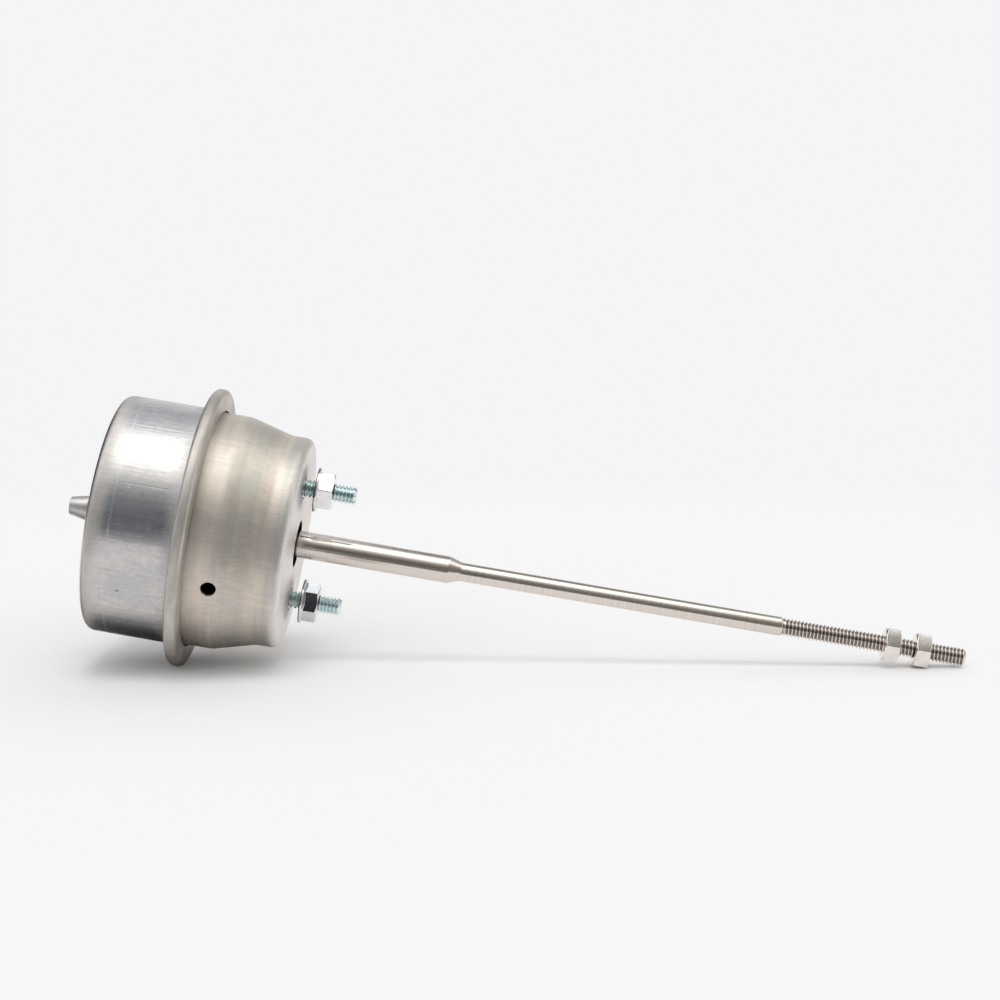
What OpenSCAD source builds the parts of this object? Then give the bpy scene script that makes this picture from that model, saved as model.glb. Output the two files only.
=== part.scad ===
// Turbo actuator: a pressure can with a spring-loaded piston that pushes a threaded rod.
// The rod's axis is +X, and the origin lies on it in the plane of the mounting face.

/* [Rear can] */
// Outside radius of the rear can
rear_r = 41.25; // [41:0.05:46]
// Depth of the rear can behind its flange
rear_depth = 31; // [30:0.1:45]
// Sheet thickness of both cans
can_wall = 1; // [0.8:0.1:1.3]
// Outside radius of the corners at both cans' ends
can_corner_r = 3; // [2:0.1:4]
// Radius of the bend between a can's wall and its flange
flange_bend_r = 1.2; // [0.8:0.1:1.6]
// Width of the flanges beyond the rear can's wall
flange_w = 5.25; // [4.8:0.05:8]

/* [Front can] */
// How much smaller in radius the front can is than the rear can
front_step = 0.65; // [0.3:0.05:1.5]
// Depth of the front can in front of its flange
front_depth = 32.6; // [30:0.1:45]
// Straight length of the front can beside its flange
front_straight = 10; // [6:0.1:11]
// Length of the cone between the front can's two cylinders
cone_len = 14.6; // [10:0.1:16]
// How much the cone narrows the front can in radius
cone_drop = 3.9; // [1.5:0.1:4.2]
// Radius of the soft bends at the cone's ends
cone_bend_r = 8; // [4:0.5:12]
// Radius of the hole that the rod leaves by
rod_hole_r = 8; // [7.6:0.1:11]
// Radius of the breather hole
vent_r = 2.6; // [1:0.1:3]
// Distance of the breather hole behind the mounting face
vent_back = 23.1; // [19:0.1:24.5]
// Angle of the breather hole below the horizontal
vent_angle = 19.7; // [0:0.1:60]

/* [Crimped ring] */
// Sheet thickness of the crimped ring
ring_wall = 0.8; // [0.6:0.1:1.2]
// Outside radius of the crimped ring's rounded edges
ring_corner_r = 1.8; // [1.4:0.1:2]
// Gap between the crimped ring's legs and the bends of the cans
ring_gap = 0.1; // [0.05:0.05:1.5]

/* [Diaphragm and piston] */
// Thickness of the rolling diaphragm
diaphragm_t = 0.8; // [0.5:0.1:1]
// Gap between the piston's skirt and the front can, in which the diaphragm rolls
loop_gap = 6.6; // [5.6:0.1:8]
// Distance of the diaphragm's fold in front of its rim
loop_rise = 3.6; // [2.8:0.1:6]
// Length of the piston over its head and skirt
piston_len = 27; // [20:0.1:30]
// Sheet thickness of the piston
piston_wall = 1.2; // [0.8:0.1:1.5]
// Outside radius of the piston's corner
piston_corner_r = 3; // [2:0.1:4]
// Radius of the flat of the plate that clamps the diaphragm
retainer_r = 21; // [20:0.5:25]
// Thickness of the plate that clamps the diaphragm
retainer_t = 1.5; // [1:0.1:2]
// Radius of the curl at the rim of the plate that clamps the diaphragm
retainer_curl_r = 3; // [2.5:0.1:4]
// Width of the clamping nut across its flats
clamp_nut_af = 12.7; // [11:0.1:14]
// Height of the clamping nut
clamp_nut_h = 3.5; // [3:0.1:4]
// Height of the rubber stop behind the piston
bumper_h = 6.8; // [6:0.1:10]
// Inner radius of the rubber stop
bumper_in_r = 14; // [12:0.5:15]
// Outer radius of the rubber stop
bumper_out_r = 19; // [17:0.5:20]

/* [Rod socket] */
// Radius of the ball on the rod's inner end
ball_r = 6.5; // [6:0.1:7]
// Thickness of the socket's wall behind the ball
socket_back_t = 1.5; // [1:0.1:2.5]
// Outer radius of the socket
socket_r = 9.5; // [8.6:0.1:11]
// How far the socket grips the ball in front of its centre
socket_grip = 3.5; // [2.5:0.1:3.8]
// Radius of the socket's foot on the piston
socket_foot_r = 12; // [11:0.5:14]
// Thickness of the socket's foot
socket_foot_t = 2; // [1.5:0.1:3]
// Radius of the socket's threaded tail
tail_r = 3.9; // [3:0.1:4.5]

/* [Return spring] */
// Wire diameter of the return spring
wire_d = 4.8; // [3:0.1:5]
// Number of turns of the return spring, with the closed ones
spring_turns = 5.5; // [5:0.5:6.5]
// Gap between the return spring and the piston's skirt
spring_play = 1.2; // [0.8:0.1:1.4]
// Thickness of the spring's front seat
seat_t = 1; // [0.8:0.1:1.5]
// Height of the seat's rim along the spring
seat_rim_h = 3; // [2:0.1:5]
// Thickness of the shim that sets the spring's preload
shim_t = 1; // [0.5:0.1:2]

/* [Studs] */
// Gap between the ends of the studs' plate and the spring seat
stud_plate_gap = 0.4; // [0.3:0.1:2.5]
// Turn of the studs from the vertical
stud_turn = 14.7; // [0:0.1:45]
// Outside radius of the studs' thread
stud_r = 3.15; // [2.9:0.05:3.3]
// Length of the studs in front of the mounting face
stud_len = 18; // [14:0.1:25]
// Radius of the studs' plain shank in the face
shank_r = 3.5; // [3.45:0.05:3.8]
// Clearance of a stud's shank in its hole in the mounting face
stud_hole_gap = 0.65; // [0.1:0.05:0.8]
// Radius of the studs' heads
stud_head_r = 4.6; // [4.2:0.1:4.8]
// Thickness of the studs' heads
stud_head_t = 2.5; // [1.5:0.1:3]
// Thickness of the plate that carries the studs
stud_plate_t = 1.5; // [1:0.1:2]
// Half the width of the plate that carries the studs
stud_plate_half_w = 12; // [11:0.1:14]
// Gap between the mounting face and the flanged nuts, where the bracket goes
bracket_gap = 4; // [1:0.1:4]

/* [Flanged nuts] */
// Width of the flanged nuts across their flats
flange_nut_af = 12; // [10:0.1:13]
// Height of the flanged nuts
flange_nut_h = 6.15; // [5:0.05:7]
// Diameter of the nuts' flange
nut_flange_d = 15.4; // [14.5:0.1:17]
// Thickness of the nuts' flange at its edge
nut_flange_t = 1; // [0.8:0.1:1.5]
// Rise of the nuts' flange from its edge to the hexagon
nut_flange_rise = 0.7; // [0.3:0.1:1.2]
// Turn of the upper flanged nut from a corner towards the side
upper_nut_turn = 0; // [0:1:60]
// Turn of the lower flanged nut from a corner towards the side
lower_nut_turn = 30; // [0:1:60]

/* [Rod] */
// Radius of the rod's thick part
rod_r = 4.7; // [4:0.05:5]
// Length of the rod's thick part in front of the mounting face
rod_thick_len = 53; // [30:0.5:80]
// Length of the cone between the rod's thick and thin parts
rod_cone_len = 4.3; // [2:0.1:8]
// Radius of the rod's thin part
rod_thin_r = 3.25; // [3.2:0.05:3.6]
// Length of the thin part up to the thread
rod_thin_len = 111.7; // [60:0.1:150]
// Outside radius of the rod's thread
thread_r = 3.1; // [3:0.05:3.15]
// Length of the thread
thread_len = 64.7; // [50:0.1:80]
// Pitch of the studs' and the rod's threads
thread_pitch = 1.27; // [1:0.01:1.27]
// Chamfer at the threads' ends
thread_chamfer = 0.5; // [0.2:0.1:0.8]

/* [Rod nuts] */
// Width of the rod's nuts across their flats
rod_nut_af = 11.1; // [10:0.1:12]
// Height of the rod's nuts
rod_nut_h = 5.4; // [4:0.1:7]
// Gap between the rod's two nuts
rod_nut_gap = 5.2; // [4.5:0.1:8]
// Length of the thread that stands free beyond the outer nut
rod_free_len = 12.4; // [8:0.1:20]

/* [Hose barb] */
// Radius of the barb's ridge
barb_r = 4.25; // [3.5:0.05:5]
// Width of the cylindrical land on the barb's ridge
barb_land = 1; // [0.8:0.1:2]
// Length of the barb's cone
barb_cone_len = 5.4; // [4:0.1:8]
// Radius of the barb's tip
barb_tip_r = 3.07; // [2.6:0.01:3.2]
// Radius of the barb's neck
barb_neck_r = 3; // [2.6:0.1:3.2]
// Length of the neck between the barb's flange and its ridge
barb_neck_len = 4.9; // [3:0.1:8]
// Radius of the barb's passage
barb_bore_r = 1.5; // [1:0.1:2]
// Radius of the barb's flange
barb_flange_r = 6.5; // [6:0.1:8]
// Thickness of the barb's flange
barb_flange_t = 1.2; // [0.8:0.1:2]
// Radius of the barb's spigot through the rear can
spigot_r = 3.5; // [3.2:0.1:3.8]
// Radius of the spigot's rolled end
spigot_roll_r = 4.6; // [4.2:0.1:5.2]
// Thickness of the spigot's rolled end
spigot_roll_t = 0.8; // [0.6:0.1:1]
// Radius of the washer behind the rolled end
washer_r = 7; // [6:0.1:9]
// Thickness of the washer and of the seal
washer_t = 0.8; // [0.6:0.1:1]

/* [Hidden] */
// Clearance of a soft or running piece from its neighbour
soft_gap = 0.3;
// Clearance round a shank, spigot or tail in its hole
hole_play = 0.05;
// Clearance between a nut's thread and the thread that it sits on
thread_play = 0.03;
// Clearance of the ball in its socket
ball_play = 0.08;
// Clearance of the flanges' edge in the crimped ring
flange_play = 0.15;
// How far the spring seat's hole stands back from the spring's inner edge
hole_chamfer = 0.4;
// Depth of a thread from its outside radius to its pitch radius
thread_half_depth = 0.325 * thread_pitch;
// Smoothness of round parts, and number of steps in a small bend
$fn = 96;
bend_steps = 8;

// Stations along the axis, from the mounting face backwards
flange_front_x = -front_depth;
rim_front_x = flange_front_x - can_wall;
rim_back_x = rim_front_x - diaphragm_t;
flange_back_x = rim_back_x - can_wall;
rear_x = flange_back_x - rear_depth;
rear_inside_x = rear_x + can_wall;
retainer_back_x = rear_inside_x + bumper_h + soft_gap;
head_back_x = retainer_back_x + retainer_t;
piston_x = head_back_x + diaphragm_t;
head_front_x = piston_x + piston_wall;
loop_x = rim_front_x + loop_rise;
tail_x = retainer_back_x - clamp_nut_h - thread_chamfer;
ball_x = head_front_x + socket_back_t + ball_r;
shim_x = -can_wall - shim_t;
seat_x = shim_x - seat_t;
thread_x = rod_thick_len + rod_cone_len + rod_thin_len;
rod_tip_x = thread_x + thread_len;
outer_nut_x = rod_tip_x - rod_free_len - rod_nut_h;
inner_nut_x = outer_nut_x - rod_nut_gap - rod_nut_h;
stud_nut_front_x = bracket_gap + flange_nut_h;

// Radii that follow from their neighbours
front_r = rear_r - front_step;
face_r = front_r - cone_drop;
flange_r = rear_r + flange_w;
ring_r = flange_r + ring_corner_r + flange_play;
ring_back_leg_r = rear_r + flange_bend_r + ring_gap;
ring_front_leg_r = front_r + flange_bend_r + ring_gap;
front_inside_r = front_r - can_wall;
piston_r = front_inside_r - loop_gap;
loop_out_r = front_inside_r - soft_gap - diaphragm_t / 2;
loop_in_r = piston_r + soft_gap + diaphragm_t / 2;
spring_r = piston_r - piston_wall - spring_play - wire_d / 2;
seat_out_r = spring_r + wire_d / 2 + soft_gap + seat_t;
seat_in_r = spring_r - wire_d / 2 + hole_chamfer;
stud_circle_r = seat_in_r - stud_plate_gap - stud_head_r;
// Radius on which a nut's thread meets the thread that it sits on
stud_pitch_r = stud_r - thread_half_depth;
rod_pitch_r = thread_r - thread_half_depth;

steel_blue = [0.68, 0.71, 0.76];
warm_steel = [0.76, 0.73, 0.68];
bright_steel = [0.80, 0.80, 0.79];
spring_steel = [0.42, 0.43, 0.45];
rubber_black = [0.10, 0.10, 0.11];

// Turns a profile of [radius, x] points into a solid round the rod's axis.
module turned(points) {
    rotate([0, 90, 0]) rotate_extrude() polygon(points);
}

// A cylinder along the rod's axis from x0 to x1.
module round_bar(x0, x1, r, r_end = undef) {
    translate([x0, 0, 0]) rotate([0, 90, 0])
        cylinder(h = x1 - x0, r1 = r, r2 = is_undef(r_end) ? r : r_end);
}

// Points of an arc round a centre in the [radius, x] plane, from angle a0 to a1.
function arc(centre, r, a0, a1) = [
    for (i = [0:bend_steps]) let (a = a0 + (a1 - a0) * i / bend_steps)
        centre + r * [cos(a), sin(a)]
];

function reversed(list) = [for (i = [len(list) - 1:-1:0]) list[i]];

// Places its children at the upper stud for side 1 and at the lower stud for side -1.
module at_stud(side) {
    rotate([side > 0 ? stud_turn : stud_turn + 180, 0, 0])
        translate([0, 0, stud_circle_r]) rotate([side > 0 ? 0 : 180, 0, 0]) children();
}

// Outline of the rear can's sheet at a depth s below its outer surface.
function rear_sheet(s) = concat(
    [[spigot_r + hole_play, rear_x + s]],
    arc([rear_r - can_corner_r, rear_x + can_corner_r], can_corner_r - s, 270, 360),
    arc([rear_r + flange_bend_r, flange_back_x - flange_bend_r], flange_bend_r + s, 180, 90),
    [[flange_r, flange_back_x + s]]
);

module rear_can() {
    color(steel_blue) turned(concat(rear_sheet(0), reversed(rear_sheet(can_wall))));
}

// Outline of the front can's sheet at a depth s below its outer surface.
function front_sheet(s) = let (
    slope = atan(cone_drop / cone_len),
    reach = cone_bend_r * tan(slope / 2),
    cone_x = flange_front_x + front_straight
) concat(
    [[flange_r, flange_front_x - s]],
    arc([front_r + flange_bend_r, flange_front_x + flange_bend_r], flange_bend_r + s, 270, 180),
    arc([front_r - cone_bend_r, cone_x - reach], cone_bend_r - s, 0, slope),
    arc([face_r + cone_bend_r, cone_x + cone_len + reach], cone_bend_r + s, 180 + slope, 180),
    arc([face_r - can_corner_r, -can_corner_r], can_corner_r - s, 0, 90),
    [[rod_hole_r, -s]]
);

module front_can() {
    color(warm_steel) difference() {
        turned(concat(front_sheet(0), reversed(front_sheet(can_wall))));
        for (side = [1, -1]) at_stud(side)
            round_bar(-2 * can_wall, can_wall, shank_r + stud_hole_gap);
        translate([-vent_back, 0, 0]) rotate([90 + vent_angle, 0, 0])
            translate([0, 0, face_r - 2 * can_wall])
                cylinder(h = cone_drop + 4 * can_wall, r = vent_r);
    }
}

// Outline of the crimped ring's sheet at a depth s below its outer surface.
function ring_sheet(s) = let (
    back_x = flange_back_x - ring_wall,
    front_x = flange_front_x + ring_wall,
    crest_r = ring_r - ring_corner_r
) concat(
    [[ring_back_leg_r, back_x + s]],
    arc([crest_r, back_x + ring_corner_r], ring_corner_r - s, 270, 360),
    arc([crest_r, front_x - ring_corner_r], ring_corner_r - s, 0, 90),
    [[ring_front_leg_r, front_x - s]]
);

module crimp_ring() {
    color(bright_steel) turned(concat(ring_sheet(0), reversed(ring_sheet(ring_wall))));
}

// Outline of the diaphragm at a depth s below its spring side.
function diaphragm_sheet(s) = let (
    rim_bend_r = flange_bend_r + can_wall + soft_gap,
    fold_r = (loop_out_r - loop_in_r) / 2,
    corner_r = piston_corner_r + soft_gap
) concat(
    [[flange_r, rim_front_x - s]],
    arc([front_inside_r - soft_gap + rim_bend_r, rim_front_x + rim_bend_r], rim_bend_r + s, 270, 180),
    arc([(loop_out_r + loop_in_r) / 2, loop_x], fold_r + diaphragm_t / 2 - s, 0, 180),
    arc([piston_r - piston_corner_r, piston_x + corner_r], corner_r + s, 0, -90),
    [[tail_r + hole_play, piston_x - s]]
);

module diaphragm() {
    color(rubber_black)
        turned(concat(diaphragm_sheet(0), reversed(diaphragm_sheet(diaphragm_t))));
}

// Outline of the piston's sheet at a depth s below its outer surface.
function piston_sheet(s) = concat(
    [[tail_r + hole_play, piston_x + s]],
    arc([piston_r - piston_corner_r, piston_x + piston_corner_r], piston_corner_r - s, 270, 360),
    [[piston_r - s, piston_x + piston_len]]
);

module piston() {
    color(bright_steel) turned(concat(piston_sheet(0), reversed(piston_sheet(piston_wall))));
}

// Outline of the retainer plate at a depth s below its clamping side.
function retainer_sheet(s) = concat(
    [[tail_r + hole_play, head_back_x - s]],
    arc([retainer_r, head_back_x - retainer_curl_r], retainer_curl_r - s, 90, 30)
);

module diaphragm_retainer() {
    color(bright_steel) turned(concat(retainer_sheet(0), reversed(retainer_sheet(retainer_t))));
}

// A hexagonal nut along the axis from x0, with its corners chamfered at the front and,
// where both is true, at the back. Its bore clears the thread that it sits on.
module hex_nut(x0, h, af, bore_r, both) {
    corner_r = af / sqrt(3);
    face_r = 0.97 * af / 2;
    cut = 0.6 * (corner_r - face_r);
    difference() {
        intersection() {
            translate([x0, 0, 0]) rotate([0, 90, 0]) cylinder(h = h, r = corner_r, $fn = 6);
            turned([
                [0, x0],
                [both ? face_r : corner_r, x0],
                [corner_r, x0 + cut],
                [corner_r, x0 + h - cut],
                [face_r, x0 + h],
                [0, x0 + h]
            ]);
        }
        round_bar(x0 - 1, x0 + h + 1, bore_r);
    }
}

module clamp_nut() {
    color(bright_steel) translate([retainer_back_x, 0, 0]) mirror([1, 0, 0])
        hex_nut(0, clamp_nut_h, clamp_nut_af, tail_r + hole_play, false);
}

module rod_socket() {
    color(bright_steel) difference() {
        union() {
            round_bar(tail_x, head_front_x, tail_r);
            round_bar(head_front_x, head_front_x + socket_foot_t, socket_foot_r);
            round_bar(head_front_x, ball_x + socket_grip, socket_r);
        }
        translate([ball_x, 0, 0]) rotate([0, 90, 0]) sphere(r = ball_r + ball_play);
    }
}

// The stop stands on the rear can and ends just short of the retainer plate.
module stop_bumper() {
    color(rubber_black) difference() {
        round_bar(rear_inside_x, rear_inside_x + bumper_h, bumper_out_r);
        round_bar(rear_inside_x - 1, retainer_back_x, bumper_in_r);
    }
}

// Height of the spring's centre line after u turns: closed end turns, open ones between.
spring_len = seat_x - head_front_x;
end_lift = 0.3 * wire_d;
closed_pitch = wire_d + 0.15;
open_pitch = (spring_len - 2 * end_lift - 2 * closed_pitch) / (spring_turns - 2);
function coil_x(u) = end_lift + closed_pitch * min(u, 1)
    + open_pitch * min(max(u - 1, 0), spring_turns - 2)
    + closed_pitch * max(u - spring_turns + 1, 0);

coil_steps = 16;
coil_sides = 8;
function coil_point(i, j) = let (
    u = i / coil_steps,
    r = spring_r + wire_d / 2 * cos(360 * j / coil_sides)
) [
    head_front_x + coil_x(u) + wire_d / 2 * sin(360 * j / coil_sides),
    r * cos(360 * u),
    r * sin(360 * u)
];

// A round wire swept along its coil, with both ends ground flat against their seats.
module return_spring() {
    rings = spring_turns * coil_steps;
    points = [for (i = [0:rings]) for (j = [0:coil_sides - 1]) coil_point(i, j)];
    sides = [
        for (i = [0:rings - 1]) for (j = [0:coil_sides - 1]) let (
            k = (j + 1) % coil_sides,
            a = i * coil_sides,
            b = a + coil_sides
        ) [a + j, a + k, b + k, b + j]
    ];
    ends = [
        [for (j = [coil_sides - 1:-1:0]) j],
        [for (j = [0:coil_sides - 1]) rings * coil_sides + j]
    ];
    color(spring_steel) intersection() {
        polyhedron(points, concat(sides, ends), convexity = 10);
        round_bar(head_front_x, seat_x, spring_r + wire_d);
    }
}

module spring_seat() {
    color(bright_steel) turned([
        [seat_in_r, shim_x],
        [seat_in_r, seat_x],
        [seat_out_r - seat_t, seat_x],
        [seat_out_r - seat_t, seat_x - seat_rim_h],
        [seat_out_r, seat_x - seat_rim_h],
        [seat_out_r, shim_x]
    ]);
}

module preload_shim() {
    color(bright_steel) difference() {
        round_bar(shim_x, -can_wall, seat_out_r);
        round_bar(shim_x - 1, 0, seat_in_r);
    }
}

// A plate inside the face, long enough to carry both studs, with a hole for the rod.
module stud_plate() {
    back_x = -can_wall - stud_plate_t;
    color(bright_steel) difference() {
        intersection() {
            round_bar(back_x, -can_wall, stud_circle_r + stud_head_r);
            rotate([stud_turn, 0, 0])
                translate([back_x, -stud_plate_half_w, -2 * stud_circle_r])
                    cube([stud_plate_t, 2 * stud_plate_half_w, 4 * stud_circle_r]);
        }
        round_bar(back_x - 1, 0, rod_hole_r + 1);
        for (side = [1, -1]) at_stud(side) round_bar(back_x - 1, 0, shank_r + hole_play);
    }
}

// A stud with its head inside. The thread is drawn at its pitch radius up to the
// front of its nut, and at its outside radius where it stands free.
module stud(side) {
    head_x = -can_wall - stud_plate_t;
    color(bright_steel) at_stud(side) union() {
        round_bar(head_x - stud_head_t, head_x, stud_head_r);
        round_bar(head_x, 0, shank_r);
        round_bar(0, stud_nut_front_x, stud_pitch_r);
        round_bar(stud_nut_front_x, stud_len - thread_chamfer, stud_r);
        round_bar(stud_len - thread_chamfer, stud_len, stud_r, stud_r - thread_chamfer);
    }
}

module stud_upper() stud(1);

module stud_lower() stud(-1);

// A nut with a conical flange at its back, turned about the stud by an angle.
module flange_nut(side, turn) {
    hex_x = bracket_gap + nut_flange_t;
    bore_r = stud_pitch_r + thread_play;
    color(bright_steel) at_stud(side) rotate([turn, 0, 0]) difference() {
        union() {
            hex_nut(hex_x, flange_nut_h - nut_flange_t, flange_nut_af, bore_r, false);
            round_bar(bracket_gap, hex_x, nut_flange_d / 2);
            round_bar(hex_x, hex_x + nut_flange_rise, nut_flange_d / 2, flange_nut_af / 2);
        }
        round_bar(bracket_gap - 1, stud_nut_front_x + 1, bore_r);
    }
}

module stud_nut_upper() flange_nut(1, upper_nut_turn - stud_turn + 30);

module stud_nut_lower() flange_nut(-1, lower_nut_turn - stud_turn + 30);

// The rod with the ball that its socket grips. Its thread is drawn at its pitch radius
// where the nuts run, and at its outside radius on the free end.
module actuator_rod() {
    nut_end_x = outer_nut_x + rod_nut_h;
    color(bright_steel) union() {
        translate([ball_x, 0, 0]) rotate([0, 90, 0]) sphere(r = ball_r);
        round_bar(ball_x, rod_thick_len, rod_r);
        round_bar(rod_thick_len, rod_thick_len + rod_cone_len, rod_r, rod_thin_r);
        round_bar(rod_thick_len + rod_cone_len, thread_x, rod_thin_r);
        round_bar(thread_x, nut_end_x, rod_pitch_r);
        round_bar(nut_end_x, rod_tip_x - thread_chamfer, thread_r);
        round_bar(rod_tip_x - thread_chamfer, rod_tip_x, thread_r, thread_r - thread_chamfer);
    }
}

// A nut on the rod, with flats above and below.
module rod_nut(x) {
    color(bright_steel) rotate([30, 0, 0])
        hex_nut(x, rod_nut_h, rod_nut_af, rod_pitch_r + thread_play, true);
}

module rod_nut_inner() rod_nut(inner_nut_x);

module rod_nut_outer() rod_nut(outer_nut_x);

module hose_barb() {
    flange_x = rear_x - washer_t;
    neck_x = flange_x - barb_flange_t;
    ridge_x = neck_x - barb_neck_len;
    roll_x = rear_inside_x + washer_t;
    color(bright_steel) turned([
        [barb_bore_r, roll_x + spigot_roll_t],
        [spigot_roll_r, roll_x + spigot_roll_t],
        [spigot_roll_r, roll_x],
        [spigot_r, roll_x],
        [spigot_r, flange_x],
        [barb_flange_r, flange_x],
        [barb_flange_r, neck_x],
        [barb_neck_r, neck_x],
        [barb_neck_r, ridge_x],
        [barb_r, ridge_x],
        [barb_r, ridge_x - barb_land],
        [barb_tip_r, ridge_x - barb_land - barb_cone_len],
        [barb_bore_r, ridge_x - barb_land - barb_cone_len]
    ]);
}

// A ring round the barb's spigot.
module spigot_ring(x0, r) {
    difference() {
        round_bar(x0, x0 + washer_t, r);
        round_bar(x0 - 1, x0 + washer_t + 1, spigot_r + hole_play);
    }
}

module barb_seal() {
    color(rubber_black) spigot_ring(rear_x - washer_t, barb_flange_r - soft_gap);
}

module barb_washer() {
    color(bright_steel) spigot_ring(rear_inside_x, washer_r);
}

rear_can();
front_can();
crimp_ring();
diaphragm();
piston();
diaphragm_retainer();
clamp_nut();
rod_socket();
stop_bumper();
return_spring();
spring_seat();
preload_shim();
stud_plate();
stud_upper();
stud_lower();
stud_nut_upper();
stud_nut_lower();
actuator_rod();
rod_nut_inner();
rod_nut_outer();
hose_barb();
barb_seal();
barb_washer();
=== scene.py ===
"""Turbo actuator on a pale table: the look of every piece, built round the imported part.

Lengths are millimetres in the part's own frame, where +X runs along the rod and the origin lies
in the mounting face. An outline is a row of points (x, r) that is turned round the X axis."""

import math

import bpy
import numpy as np
from mathutils import Matrix, Vector


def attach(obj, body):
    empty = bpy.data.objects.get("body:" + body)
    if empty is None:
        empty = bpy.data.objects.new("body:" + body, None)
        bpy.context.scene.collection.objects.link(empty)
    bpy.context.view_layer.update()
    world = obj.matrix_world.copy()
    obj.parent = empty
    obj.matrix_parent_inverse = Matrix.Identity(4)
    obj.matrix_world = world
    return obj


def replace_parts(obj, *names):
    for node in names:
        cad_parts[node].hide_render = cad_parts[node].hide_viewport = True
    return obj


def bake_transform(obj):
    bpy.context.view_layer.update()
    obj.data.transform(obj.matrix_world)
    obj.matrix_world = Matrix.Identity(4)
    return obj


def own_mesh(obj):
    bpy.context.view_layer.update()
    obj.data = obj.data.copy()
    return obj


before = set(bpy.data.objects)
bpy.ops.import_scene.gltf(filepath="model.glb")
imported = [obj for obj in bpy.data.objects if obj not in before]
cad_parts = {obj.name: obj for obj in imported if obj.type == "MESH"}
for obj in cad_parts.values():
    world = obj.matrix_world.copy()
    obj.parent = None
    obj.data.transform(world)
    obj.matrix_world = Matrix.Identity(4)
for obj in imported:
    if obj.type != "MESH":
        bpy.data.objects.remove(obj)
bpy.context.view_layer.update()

MM = 0.001

# Coordinate for the points of a grid that no hole may reach
FAR = 1000.0

# Camera, as fitted to the outlines in the photograph
CAMERA_PLACE = (71.557, -724.855, 120.502)
CAMERA_AHEAD = (-0.0068033, 0.9917569, -0.1279532)
CAMERA_UP = (-0.1680908, 0.1250014, 0.9778140)
CAMERA_LENS = 76.42
SENSOR_WIDTH = 36.0

# The table leans under the part, which lies on its crimped ring and its outer rod nut.
# TABLE_DEPTH is the origin's distance from its plane
TABLE_LEAN = math.radians(9.575)
TABLE_DEPTH = 42.22
TABLE_UP = (-math.sin(TABLE_LEAN), 0.0, math.cos(TABLE_LEAN))
TABLE_HALF = 1500.0
TABLE_MIDDLE_X = 90.0

# Stations along the axis, the same as in the part's source
BARB_FLANGE_X = -67.2
REAR_X = -66.4
REAR_INSIDE_X = -65.4
WASHER_X = -64.6
TAIL_X = -62.3
STOP_X = -58.6
HEAD_BACK_X = -56.8
PISTON_X = -56.0
BALL_X = -46.8
SOCKET_MOUTH_X = -43.3
FLANGE_BACK_X = -35.4
RIM_X = -33.6
FLANGE_FRONT_X = -32.6
LOOP_X = -30.0
VENT_X = -23.1
SEAT_X = -3.0
SHIM_X = -2.0
FACE_INSIDE_X = -1.0
ROD_CONE_X = 53.0
ROD_THIN_X = 57.3
THREAD_X = 169.0
INNER_NUT_X = 205.3
OUTER_NUT_X = 215.9
ROD_TIP_X = 233.7

# Cans and crimped ring: radii, walls, corners and holes
REAR_R = 41.25
FRONT_R = 40.6
FACE_R = 36.7
FLANGE_R = 46.5
CAN_WALL = 1.0
CORNER_R = 3.0
FLANGE_BEND_R = 1.2
BARB_HOLE_R = 3.55
ROD_HOLE_R = 8.0
VENT_R = 2.6
VENT_ANGLE = math.radians(180 + 19.7)
RING_R = 48.45
RING_CORNER_R = 1.8
RING_WALL = 0.8
RING_GAP = 0.1
RING_LIP = 0.6

# Rod, studs and nuts. The rod's thread and the studs' have the same pitch
ROD_R = 4.7
ROD_THIN_R = 3.25
BALL_R = 6.5
THREAD_R = 3.1
THREAD_PITCH = 1.27
STUD_CIRCLE_R = 21.2
STUD_TURN = math.radians(14.7)
STUD_HOLE_R = 4.15
STUD_R = 3.15
STUD_SHANK_R = 3.5
STUD_THREAD_X = -0.6
STUD_LEN = 18.0
STUD_NUT_X = 4.0
ROD_NUT = {"height": 5.4, "across_flats": 11.1, "bore_r": 2.72, "bow": 0.14}
STUD_NUT = {"height": 6.15, "across_flats": 12.0, "bore_r": 2.77, "bow": 0.04}
STUD_NUT["flange"] = (7.7, 1.0, 0.7)

# Inner pieces
PISTON_R = 33.0
PISTON_WALL = 1.2
PISTON_LEN = 27.0
PLATE_WALL = 1.5
PLATE_R = 24.0
TAIL_R = 3.9
TAIL_HOLE_R = 3.95
SOCKET_R = 9.5
SOCKET_FOOT_R = 12.0
SOCKET_BALL_R = 6.58
STOP_R = 19.0
STOP_HOLE_R = 14.0
SEAT_R = 31.9
SEAT_HOLE_R = 26.2

# Colour of the front can by its station, and the length that the stations span. Its first
# stop is painted shade in the crease by the crimped ring
FRONT_SPAN = 34.0
FRONT_ZONES_AND_CREASE_SHADE = [
    # Painted shade in the crease by the crimped ring
    (-31.8, (0.42, 0.38, 0.335)),
    (-31.3, (0.60, 0.555, 0.50)),
    (-29.5, (0.67, 0.622, 0.56)),
    (-24.0, (0.715, 0.66, 0.60)),
    (-20.5, (0.645, 0.618, 0.568)),
    (-13.0, (0.63, 0.605, 0.555)),
    (-9.5, (0.715, 0.662, 0.595)),
    (-6.5, (0.71, 0.66, 0.60)),
    (-4.5, (0.62, 0.60, 0.55)),
    (-1.5, (0.72, 0.70, 0.68)),
    (-0.2, (0.83, 0.815, 0.81)),
]

# Light: a soft lamp, an even glow for all that is matt, and a plain background
LAMP_ENERGY = 0.61
LAMP_SPREAD = math.radians(25)
LAMP_LEAN = math.radians(19)
LAMP_ASIDE = math.radians(3)
GLOW_ALL_ROUND = 0.10
GLOW_ABOVE = 0.40
GLOW_FRONT = 1.45
GLOW_BACK = 0.8
GLOW_RIGHT = 0.3
BACKGROUND = (0.910, 0.910, 0.925)
TABLE_COLOUR = (0.87, 0.87, 0.872)

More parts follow.
